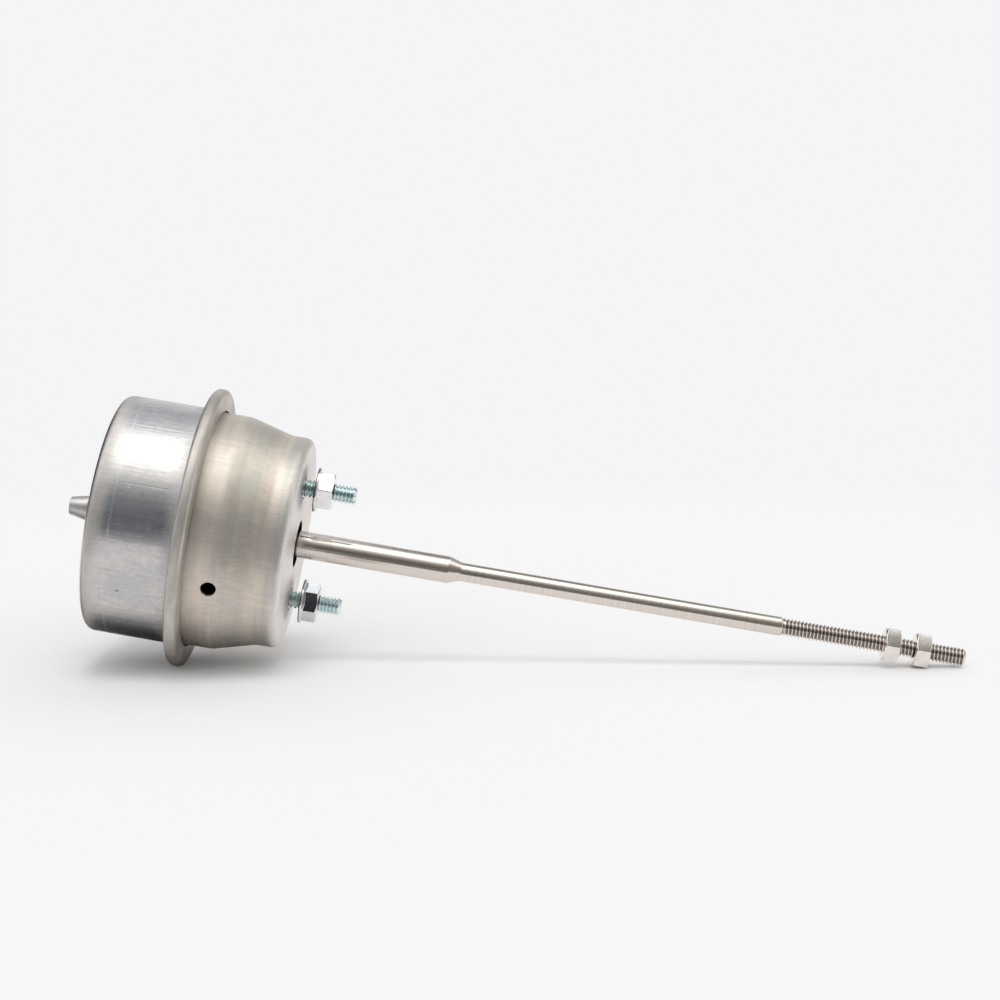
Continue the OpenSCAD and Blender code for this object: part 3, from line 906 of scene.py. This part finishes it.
def make_crimp_ring():
    """The crimped ring: its outline turned round the axis."""
    outer, inner = refined(ring_outline(0.0), ring_outline(RING_WALL), lambda point: 1.0)
    angles = round_angles(224)
    piece = sheet_piece(
        "crimp_ring_band",
        turned(outer, angles),
        turned(inner, angles),
        "canister",
        "ring_steel",
        RING_STEEL,
    )
    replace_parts(piece, "crimp_ring")


# Rod, studs and nuts


def thread_depth(x, angle):
    """Depth below the crest, from 0 to 1, of a 60 degree thread that climbs with the angle."""
    turn = (x / THREAD_PITCH - angle / (2 * math.pi)) % 1.0
    flank = np.abs(turn - 0.5) * 2
    return 1 - np.clip((flank - 0.14) / 0.72, 0, 1)


def thread_radius(x, angle, start, end, outside_r, start_r):
    """Radius of a threaded bar: from start_r to its outside radius within a pitch, less the
    thread, which runs out at both ends, and less the chamfer at the end."""
    run_in = np.clip((x - start) / (1.6 * THREAD_PITCH), 0, 1)
    run_out = np.clip((end - 0.55 - x) / 0.5, 0, 1)
    bar = start_r + (outside_r - start_r) * np.clip((x - start) / THREAD_PITCH, 0, 1)
    radius = bar - 0.6 * THREAD_PITCH * (run_in * run_out) * thread_depth(x, angle)
    chamfer = outside_r - 0.75 - (x - end) * 0.8
    return np.minimum(radius, chamfer)


def thread_rows(start, end):
    """Stations along a thread, 14 to a pitch, up to and with its end."""
    return np.append(np.arange(start, end - 1e-6, THREAD_PITCH / 14), end)


def threaded_bar(name, rows, plain, steps, thread, body, finish, centre=(0.0, 0.0)):
    """A bar through rows of stations: plain radii, and a thread (start, end, outside radius,
    radius at its start) from its start on."""
    angles = round_angles(steps)
    x = rows[:, None] + 0 * angles
    radii = plain[:, None] + 0 * angles
    on_thread = rows >= thread[0]
    radii[on_thread] = thread_radius(x, angles[None, :], *thread)[on_thread]
    y, z = centre
    points = np.stack([x, y + radii * np.cos(angles), z + radii * np.sin(angles)], 2)
    verts, faces = solid_grid(points)
    return put_mesh(name, verts, faces, body, finish, 0)


def make_rod():
    """The rod: ball, thick part, cone, thin part and thread to its chamfered tip."""
    ball = BALL_X - BALL_R * np.cos(np.radians(np.linspace(6, 132, 22)))
    thick = np.array([-41.0, -30, -15, 0, 15, 30, 45])
    by_edge = np.array([-0.4, -0.1, 0.0, 0.1, 0.4])
    cone = np.concatenate([ROD_CONE_X + by_edge, [55.0], ROD_THIN_X + by_edge])
    thin = np.array([70.0, 90, 110, 130, 150, 165, 168.5, 168.9])
    rows = np.concatenate([ball, thick, cone, thin, thread_rows(THREAD_X, ROD_TIP_X)])
    plain = np.interp(rows, [ROD_CONE_X, ROD_THIN_X], [ROD_R, ROD_THIN_R])
    in_ball = slice(len(ball))
    plain[in_ball] = np.sqrt(BALL_R**2 - (rows[in_ball] - BALL_X) ** 2)
    thread = (THREAD_X, ROD_TIP_X, THREAD_R, ROD_THIN_R)
    piece = threaded_bar(
        "actuator_rod_turned", rows, plain, 48, thread, "rod", ROD_STEEL
    )
    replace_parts(piece, "actuator_rod")


def make_stud(side, name):
    """A stud: head, plain shank in the face, and thread to its chamfered end."""
    head = np.array([-5.0, -4.7, -2.55, -2.5, -2.45, -1.2, -0.8])
    rows = np.concatenate([head, thread_rows(STUD_THREAD_X, STUD_LEN)])
    plain = np.interp(rows, [-5.0, -4.7, -2.51, -2.49], [4.3, 4.6, 4.6, STUD_SHANK_R])
    thread = (STUD_THREAD_X, STUD_LEN, STUD_R, STUD_SHANK_R)
    piece = threaded_bar(
        name + "_threaded",
        rows,
        plain,
        44,
        thread,
        "canister",
        STUD_PLATING,
        stud_centre(side),
    )
    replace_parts(piece, name)


def hexagon(across_flats, corner_fillet, turn, bow):
    """Outline (y, z) of a hexagon: arcs at its corners, and flats that stand out by bow halfway."""
    reach = (across_flats / 2 - corner_fillet) / math.cos(math.pi / 6)
    outline = []
    for k in range(6):
        corner = turn + k * math.pi / 3
        centre = reach * np.array([math.cos(corner), math.sin(corner)])
        a = corner + np.radians(np.linspace(-30, 30, 5))
        bend = centre + corner_fillet * np.stack([np.cos(a), np.sin(a)], 1)
        following = turn + (k + 1) * math.pi / 3
        start = reach * np.array([math.cos(following), math.sin(following)])
        b = following - math.pi / 6
        out = np.array([math.cos(b), math.sin(b)])
        t = np.linspace(0, 1, 14)[1:-1, None]
        flat = bend[-1] * (1 - t) + (start + corner_fillet * out) * t + 4 * bow * t * (1 - t) * out
        outline += [bend, flat]
    return np.concatenate(outline)


def flange_rows(x0, reach, side, flange):
    """Rows (x, r) of a nut's flange: its cone up to the flats, its round edge and its underside.

    The flange is (radius, thickness, rise), and side is half the width across the flats."""
    radius, thickness, rise = flange
    bead = 0.25
    top = x0 + thickness
    rows = [(top + rise * (radius - reach) / (radius - side), reach), (top, radius - bead)]
    for a in np.radians(np.linspace(15, 90, 4)):
        rows.append((top - bead + bead * math.cos(a), radius - bead + bead * math.sin(a)))
    return rows + [(x0 + 0.1, radius), (x0, radius - 0.1)]


def make_nut(node, x0, turn, centre, body, finish, height, across_flats, bore_r, bow, flange=None):
    """A hexagon nut: flats, the curved edges where its chamfer cones cut them, end faces and bore.

    Its rows run from the bore's front end over the outside to the bore's back end, and each row
    holds a station and a radius for every point of the hexagon's outline."""
    corner_fillet = 0.35
    outline = hexagon(across_flats, corner_fillet, math.radians(turn), bow)
    reach = np.linalg.norm(outline, axis=1)
    unit = outline / reach[:, None]
    side = across_flats / 2
    face_r = 0.97 * side
    edge = 0.6 * (reach - face_r)
    x1 = x0 + height
    rows = [(x1, bore_r), (x1, face_r), (x1 - edge, reach)]
    if flange:
        rows += flange_rows(x0, reach, side, flange)
    else:
        rows += [(x0 + edge, reach), (x0, face_r)]
    rows.append((x0, bore_r))
    x = np.array([row[0] + 0 * reach for row in rows])
    r = np.array([row[1] + 0 * reach for row in rows])
    grid = np.stack([x, centre[0] + r * unit[:, 0], centre[1] + r * unit[:, 1]], 2)
    verts = grid.reshape(-1, 3)
    faces = outward(verts, loop_faces(len(rows), len(reach), True).tolist())
    piece = put_mesh(node + "_plated", verts, faces, body, finish, 28)
    soft = piece.modifiers.new("soft edges", "BEVEL")
    soft.width = 0.1 * MM
    soft.segments = 2
    soft.limit_method = "ANGLE"
    soft.angle_limit = math.radians(24)
    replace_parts(piece, node)


def make_nuts():
    """The rod's two nuts and the studs' two flanged nuts, each turned in degrees as in the photo."""
    middle = (0.0, 0.0)
    make_nut("rod_nut_inner", INNER_NUT_X, 174.0, middle, "nut_inner", NUT_PLATING, **ROD_NUT)
    make_nut("rod_nut_outer", OUTER_NUT_X, 171.5, middle, "nut_outer", NUT_PLATING, **ROD_NUT)
    for side, node, turn in ((1, "stud_nut_upper", 172.0), (-1, "stud_nut_lower", 200.0)):
        place = stud_centre(side)
        make_nut(node, STUD_NUT_X, turn, place, "canister", FLANGE_NUT_PLATING, **STUD_NUT)


# Hose barb


def make_barb():
    """The barb's outline: bore, rolled end, spigot, flange, neck, ridge with its land, cone, tip."""
    spigot_r, flange_r, neck_r, ridge_r, bore_r = 3.5, 6.5, 3.0, 4.25, 1.5
    flange_x, neck_x, ridge_x, tip_x = BARB_FLANGE_X, -68.4, -73.3, -79.7
    profile = [
        (WASHER_X + 0.8, bore_r),
        (WASHER_X + 0.8, 4.4),
        (WASHER_X + 0.6, 4.6),
        (WASHER_X, 4.6),
        (WASHER_X, spigot_r),
        (flange_x, spigot_r),
        (flange_x, flange_r - 0.15),
        (flange_x - 0.15, flange_r),
        (neck_x + 0.15, flange_r),
        (neck_x, flange_r - 0.15),
        (neck_x, neck_r + 0.4),
        (neck_x - 0.12, neck_r + 0.12),
        (neck_x - 0.4, neck_r),
        (ridge_x, neck_r),
        (ridge_x, ridge_r - 0.1),
        (ridge_x - 0.1, ridge_r),
        (ridge_x - 0.95, ridge_r),
        (ridge_x - 1.08, ridge_r - 0.03),
        (tip_x + 0.2, 3.12),
        (tip_x + 0.06, 3.04),
        (tip_x, 2.9),
        (tip_x, bore_r + 0.1),
        (tip_x + 0.1, bore_r),
    ]
    piece = ring_piece("hose_barb_turned", profile, "canister", BARB_METAL, 72, 25)
    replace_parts(piece, "hose_barb")


def make_barb_seal():
    """The seal between the barb's flange and the rear can, with its outer corners cut."""
    seal_r = 6.2
    profile = [
        (BARB_FLANGE_X, BARB_HOLE_R),
        (BARB_FLANGE_X, seal_r - 0.2),
        (BARB_FLANGE_X + 0.15, seal_r),
        (REAR_X - 0.15, seal_r),
        (REAR_X, seal_r - 0.2),
        (REAR_X, BARB_HOLE_R),
    ]
    piece = ring_piece("barb_seal_ring", profile, "canister", BLACK_RUBBER, 72)
    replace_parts(piece, "barb_seal")


# Inner pieces


def diaphragm_outline(s):
    """Outline of the diaphragm at a depth s: rim, bend, outer wall, fold, inner wall, bend and
    head. Its walls' middles stand at outer_r and inner_r, and the fold is a half circle."""
    inner_r, outer_r, half, bend, corner = 33.7, 38.9, 0.4, 2.5, 3.3
    fold_r = (outer_r - inner_r) / 2
    middle_r = (outer_r + inner_r) / 2
    parts = [
        np.array([[RIM_X - s, FLANGE_R]]),
        arc(RIM_X + bend, outer_r + half + bend, bend + s, -90, -180, 8),
        arc(LOOP_X, middle_r, fold_r + half - s, 0, 180, 21),
        arc(PISTON_X + corner, inner_r - half - corner, corner + s, 0, -90, 9),
        np.array([[PISTON_X - s, TAIL_HOLE_R]]),
    ]
    return np.concatenate(parts)


def make_diaphragm():
    """The diaphragm, turned from its outline. It stretches between the can and the piston."""
    wall = 0.8
    outer, inner = refined(diaphragm_outline(0.0), diaphragm_outline(wall), lambda point: 1.5)
    angles = round_angles(128)
    piece = sheet_piece(
        "diaphragm_fabric",
        turned(outer, angles),
        turned(inner, angles),
        None,
        "diaphragm_rubber",
        DIAPHRAGM_RUBBER,
        sharp=50,
    )
    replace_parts(piece, "diaphragm")
    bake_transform(piece)


def make_spring():
    """A round wire along a coil: closed end turns, open turns between, with its ends ground flat."""
    mean_r, wire_r, turns = 28.2, 2.4, 5.5
    x0, x1 = PISTON_X + PISTON_WALL, SEAT_X
    steps, sides = 96, 20
    u = np.linspace(0, turns, int(turns * steps) + 1)
    lift = 0.6 * wire_r
    closed = 4.95
    opened = (x1 - x0 - 2 * lift - 2 * closed) / (turns - 2)
    x = x0 + lift + closed * np.minimum(u, 1) + opened * np.clip(u - 1, 0, turns - 2)
    x = x + closed * np.maximum(u - turns + 1, 0)
    a = round_angles(sides)
    r = mean_r + wire_r * np.cos(a)[None, :]
    angle = 2 * math.pi * u[:, None]
    height = np.clip(x[:, None] + wire_r * np.sin(a)[None, :], x0, x1)
    points = np.stack([height, r * np.cos(angle), r * np.sin(angle)], 2)
    verts, faces = solid_grid(points)
    piece = put_mesh(
        "return_spring_coil", verts, faces, "canister", SPRING_STEEL, 40
    )
    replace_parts(piece, "return_spring")
    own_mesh(piece)


def pressed(outline, wall):
    """Closed profile of a pressed sheet: its outline at depth 0, and back at the wall's depth."""
    return np.concatenate([outline(0.0), outline(wall)[::-1]])


def piston_outline(s):
    """Outline of the piston at a depth s: head, corner and skirt."""
    corner = 3.0
    parts = [
        np.array([[PISTON_X + s, TAIL_HOLE_R]]),
        arc(PISTON_X + corner, PISTON_R - corner, corner - s, -90, 0, 9),
        np.array([[PISTON_X + PISTON_LEN, PISTON_R - s]]),
    ]
    return np.concatenate(parts)


def plate_outline(s):
    """Outline of the retainer plate at a depth s: flat, with its rim bent away."""
    bend = 3.0
    rim = arc(HEAD_BACK_X - bend, PLATE_R - bend, bend - s, 90, 30, 7)
    return np.concatenate([np.array([[HEAD_BACK_X - s, TAIL_HOLE_R]]), rim])


def inner_ring_profiles():
    """Each turned ring inside the can: node, name of the piece, profile, body, slot and finish."""
    canister_steel = ("canister", "inner_steel", INNER_STEEL)
    piston_steel = ("piston", "inner_steel", INNER_STEEL)
    stop = [
        (REAR_INSIDE_X, STOP_HOLE_R),
        (STOP_X - 0.2, STOP_HOLE_R),
        (STOP_X, STOP_HOLE_R + 0.2),
        (STOP_X, STOP_R - 0.4),
        (STOP_X - 0.4, STOP_R),
        (REAR_INSIDE_X, STOP_R),
    ]
    seat = [
        (SHIM_X, SEAT_HOLE_R),
        (SEAT_X, SEAT_HOLE_R),
        (SEAT_X, SEAT_R - 1.0),
        (SEAT_X - 3.0, SEAT_R - 1.0),
        (SEAT_X - 3.0, SEAT_R),
        (SHIM_X - 0.3, SEAT_R),
        (SHIM_X, SEAT_R - 0.3),
    ]
    shim = [
        (SHIM_X, SEAT_HOLE_R),
        (FACE_INSIDE_X, SEAT_HOLE_R),
        (FACE_INSIDE_X, SEAT_R),
        (SHIM_X, SEAT_R),
    ]
    washer = [
        (REAR_INSIDE_X, BARB_HOLE_R),
        (WASHER_X, BARB_HOLE_R),
        (WASHER_X, 6.8),
        (WASHER_X - 0.2, 7.0),
        (REAR_INSIDE_X, 7.0),
    ]
    return [
        ("piston", "piston_cup", pressed(piston_outline, PISTON_WALL), *piston_steel),
        ("diaphragm_retainer", "retainer_plate", pressed(plate_outline, PLATE_WALL), *piston_steel),
        ("stop_bumper", "stop_bumper_ring", stop, "canister", "black_rubber", BLACK_RUBBER),
        ("spring_seat", "spring_seat_pan", seat, *canister_steel),
        ("preload_shim", "preload_shim_ring", shim, *canister_steel),
        ("barb_washer", "barb_washer_ring", washer, *canister_steel),
    ]


def make_inner_rings():
    """Piston, retainer plate, rubber stop, spring seat, shim and washer, all turned."""
    for node, name, profile, body, slot, finish in inner_ring_profiles():
        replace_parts(ring_piece(name, profile, body, finish), node)


def make_socket():
    """The rod's socket: chamfered tail, foot, round body, and the cup for the ball."""
    foot_x = PISTON_X + PISTON_WALL
    body = [
        [TAIL_X, TAIL_R - 0.5],
        [TAIL_X + 0.5, TAIL_R],
        [foot_x, TAIL_R],
        [foot_x, SOCKET_FOOT_R],
        [foot_x + 2.0, SOCKET_FOOT_R],
        [foot_x + 2.0, SOCKET_R],
        [SOCKET_MOUTH_X, SOCKET_R],
    ]
    cup = arc(BALL_X, 0.0, SOCKET_BALL_R, -90, 32, 16)[:0:-1]
    verts, faces = solid_grid(turned(np.concatenate([body, cup]), round_angles(96)))
    piece = put_mesh("rod_socket_turned", verts, faces, "piston", INNER_STEEL)
    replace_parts(piece, "rod_socket")


def finish_kept_nodes():
    """The pieces that keep their own mesh get their finish here."""
    for name in ("clamp_nut", "stud_plate"):
        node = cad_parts[name]
        node.data.materials.clear()
        node.data.materials.append(INNER_STEEL)


# Table, light and camera


def on_table(x, y):
    """The point of the table's plane at a place (x, y)."""
    return (x, y, (-TABLE_DEPTH - TABLE_UP[0] * x) / TABLE_UP[2])


def table_in_metal(f, x, y):
    """Colour of the table in reflections, with painted shadow under the can, by its ring and
    under its cone, each by smooth steps along the axis and beside it."""
    before = y * -1.0
    beside = f.math("ABSOLUTE", y)
    below = f.steps(x, -36.0, -28.0, 1.0, 0.85) * f.steps(x, -8.0, 3.0, 1.0, 0.0)
    lit = f.steps(beside, 10.0, 32.0, 0.12, 1.0) * f.steps(before, 45.0, 85.0, 1.0, 0.91)
    by_ring = f.band(x, -43.0, -38.0, -32.0, -22.0)
    lit_by_ring = f.steps(beside, 12.0, 54.0, 0.3, 1.0)
    by_cone = f.band(x, 7.0, 16.0, 20.0, 30.0) * f.steps(before, 34.0, 46.0)
    # Painted shadow on the table as metal reflects it
    light = 1.0 - below * (1.0 - lit)
    light = light * (1.0 - by_ring * (1.0 - lit_by_ring))
    light = light * (1.0 - 0.42 * by_cone)
    return f.blend(light, (0.0, 0.0, 0.0), TABLE_IN_METAL)


def room_in_metal(f, x, y):
    """The dark room in front of the table in reflections: how much of it, and its colour."""
    edge = f.steps(x, -78.0, -66.0, EDGE_BEHIND, EDGE_BY_CAN)
    edge = edge - f.steps(x, -30.0, -12.0, 0.0, EDGE_BY_CAN - EDGE_BY_ROD)
    share = f.steps(y * -1.0 - edge, -4.0, 10.0)
    gloom = f.blend(f.steps(x, -78.0, -66.0), DARK_COOL, DARK_FRONT)
    return share, f.blend(f.steps(x, -28.0, -8.0), gloom, DARK_WARM)


def make_table():
    """A pale table with no underside, which fades out with distance and ends in front for
    reflections."""
    ends = ((-1, -1), (1, -1), (1, 1), (-1, 1))
    corners = [on_table(TABLE_HALF * x, TABLE_HALF * y) for x, y in ends]
    mesh = bpy.data.meshes.new("table")
    mesh.from_pydata((np.array(corners) * MM).tolist(), [], [(0, 1, 2, 3)])
    table = bpy.data.objects.new("table", mesh)
    bpy.context.scene.collection.objects.link(table)
    material = bpy.data.materials.new("table_top")
    f = Finish(material)
    x, y = f.place()[1][:2]
    seen, glossy = f.rays()
    colour = f.blend(glossy, TABLE_COLOUR, table_in_metal(f, x, y))
    paper = f.add("ShaderNodeBsdfDiffuse", Color=colour)
    share, gloom = room_in_metal(f, x, y)
    dark = f.add("ShaderNodeEmission", Color=gloom, Strength=1.0)
    mixed = f.add("ShaderNodeMixShader", s0=glossy * share, s1=paper, s2=dark)
    fade = f.steps(radius_of(x - TABLE_MIDDLE_X, y), 330.0, 620.0)
    gone = f.most(seen * fade, f.add("ShaderNodeNewGeometry", out="Backfacing"))
    clear = f.add("ShaderNodeBsdfTransparent")
    top = f.add("ShaderNodeMixShader", s0=gone, s1=mixed, s2=clear)
    f.add("ShaderNodeOutputMaterial", Surface=top)
    mesh.materials.append(material)


def dimmed(colour):
    """A colour divided by PEAK."""
    return tuple(c / PEAK for c in colour)


def surround_colour(f, along, depth, angle):
    """What a reflection sees round the part, divided by PEAK: bands by the angle about the axis,
    raised to the right, plus the dark room's tint by the way along the axis, with plain patches
    to the far right, to the far left, behind the rod and its nuts, and behind to the left."""
    raised = f.steps(along, 0.06, 0.185, 0.0, math.radians(28))
    raised = raised - f.steps(along, 0.22, 0.32, 0.0, math.radians(19))
    stops = [((a + 180) / 360, dimmed(colour)) for a, colour in SURROUND]
    bands = f.ramp((angle - raised) / (2 * math.pi) + 0.5, stops)
    gloom = f.blend(f.steps(along, -0.155, -0.14), DARK_COOL, DARK_FRONT)
    gloom = f.blend(f.steps(along, -0.125, -0.105), gloom, DARK_WARM)
    gloom = f.blend(f.band(along, -0.120, -0.110, -0.062, -0.052), gloom, BLACK)
    gloom = f.blend(1.0 - 1.0 / PEAK, gloom, (0.0, 0.0, 0.0))
    total = f.vectors("ADD", bands, gloom)
    behind = f.band(angle, *np.radians([98, 106, 146, 156]).tolist())
    by_rod = f.band(along, -0.110, -0.095, 0.10, 0.22)
    at_nuts = f.band(along, -0.106, -0.098, -0.078, -0.070)
    right = f.steps(along, 0.80, 0.97)
    left = f.steps(along, -0.93, -0.70, 1.0, 0.0)
    corner = f.steps(along, -0.60, -0.35, 1.0, 0.0) * f.steps(depth, 0.05, 0.35)
    total = f.blend(behind * by_rod * 0.56, total, (0.0, 0.0, 0.0))
    total = f.blend(behind * at_nuts, total, dimmed((1.1, 1.12, 1.15)))
    total = f.blend(right, total, dimmed((0.95, 0.94, 0.93)))
    total = f.blend(left, total, dimmed((0.5, 0.5, 0.5)))
    return f.blend(corner, total, dimmed((0.05, 0.05, 0.05)))


def surround_strength(f, along, angle):
    """PEAK, less to the right in the bright bands above the front."""
    high = f.steps(angle, math.radians(30), math.radians(60))
    dim = f.steps(along, 0.0, 0.3, 1.0, 0.62)
    return (1.0 - high * (1.0 - dim)) * PEAK


def even_strength(f, along, depth, rise):
    """Light for all that is matt: the same all round, plus more from above, front, back, right."""
    front = f.most(depth * -1.0, 0.0)
    back = f.most(depth, 0.0)
    glow = GLOW_ALL_ROUND + GLOW_ABOVE * f.most(rise, 0.0)
    return glow + GLOW_FRONT * front + GLOW_BACK * back + GLOW_RIGHT * f.most(along, 0.0)


def make_world():
    """Even light for all that is matt, a pale background, and a room's surround for reflections."""
    world = bpy.data.worlds.new("studio")
    bpy.context.scene.world = world
    f = Finish(world)
    seen, glossy = f.rays()
    along, depth, height = f.numbers(f.add("ShaderNodeTexCoord", out="Generated"))
    rise = height * TABLE_UP[2] + along * TABLE_UP[0]
    angle = f.math("ARCTAN2", rise, depth * -1.0)
    studio = f.add(
        "ShaderNodeBackground",
        Color=surround_colour(f, along, depth, angle),
        Strength=surround_strength(f, along, angle),
    )
    strength = even_strength(f, along, depth, rise)
    even = f.add("ShaderNodeBackground", Color=(1.0, 1.0, 1.0), Strength=strength)
    backdrop = f.add("ShaderNodeBackground", Color=BACKGROUND, Strength=1.0)
    lit = f.add("ShaderNodeMixShader", s0=glossy, s1=even, s2=studio)
    top = f.add("ShaderNodeMixShader", s0=seen, s1=lit, s2=backdrop)
    f.add("ShaderNodeOutputWorld", Surface=top)
    world.cycles.sampling_method = "NONE"


def make_lamp():
    """A soft lamp above and in front of the part. Metal sees the surround in its place."""
    data = bpy.data.lights.new("soft_lamp", "SUN")
    data.energy = LAMP_ENERGY
    data.angle = LAMP_SPREAD
    lamp = bpy.data.objects.new("soft_lamp", data)
    bpy.context.scene.collection.objects.link(lamp)
    aim = Vector((-math.tan(LAMP_ASIDE), math.tan(LAMP_LEAN), 0.0)) - Vector(TABLE_UP)
    lamp.rotation_euler = aim.to_track_quat("-Z", "Y").to_euler()
    lamp.visible_glossy = False
    lamp.visible_camera = False


def make_camera():
    """The camera of the photograph: its place, the way it looks, and its lens."""
    data = bpy.data.cameras.new("camera")
    data.sensor_fit = "HORIZONTAL"
    data.sensor_width = SENSOR_WIDTH
    data.lens = CAMERA_LENS
    data.clip_start = 0.01
    data.clip_end = 20.0
    camera = bpy.data.objects.new("camera", data)
    bpy.context.scene.collection.objects.link(camera)
    back = -Vector(CAMERA_AHEAD).normalized()
    right = Vector(CAMERA_UP).cross(back).normalized()
    up = back.cross(right)
    turn = Matrix((right, up, back)).transposed().to_4x4()
    camera.matrix_world = Matrix.Translation(Vector(CAMERA_PLACE) * MM) @ turn
    bpy.context.scene.camera = camera


bpy.context.scene.view_settings.view_transform = "Standard"

make_camera()
make_world()
make_lamp()
make_table()
make_rear_can()
make_front_can()
make_crimp_ring()
make_rod()
make_stud(1, "stud_upper")
make_stud(-1, "stud_lower")
make_nuts()
make_barb()
make_barb_seal()
make_diaphragm()
make_spring()
make_inner_rings()
make_socket()
finish_kept_nodes()
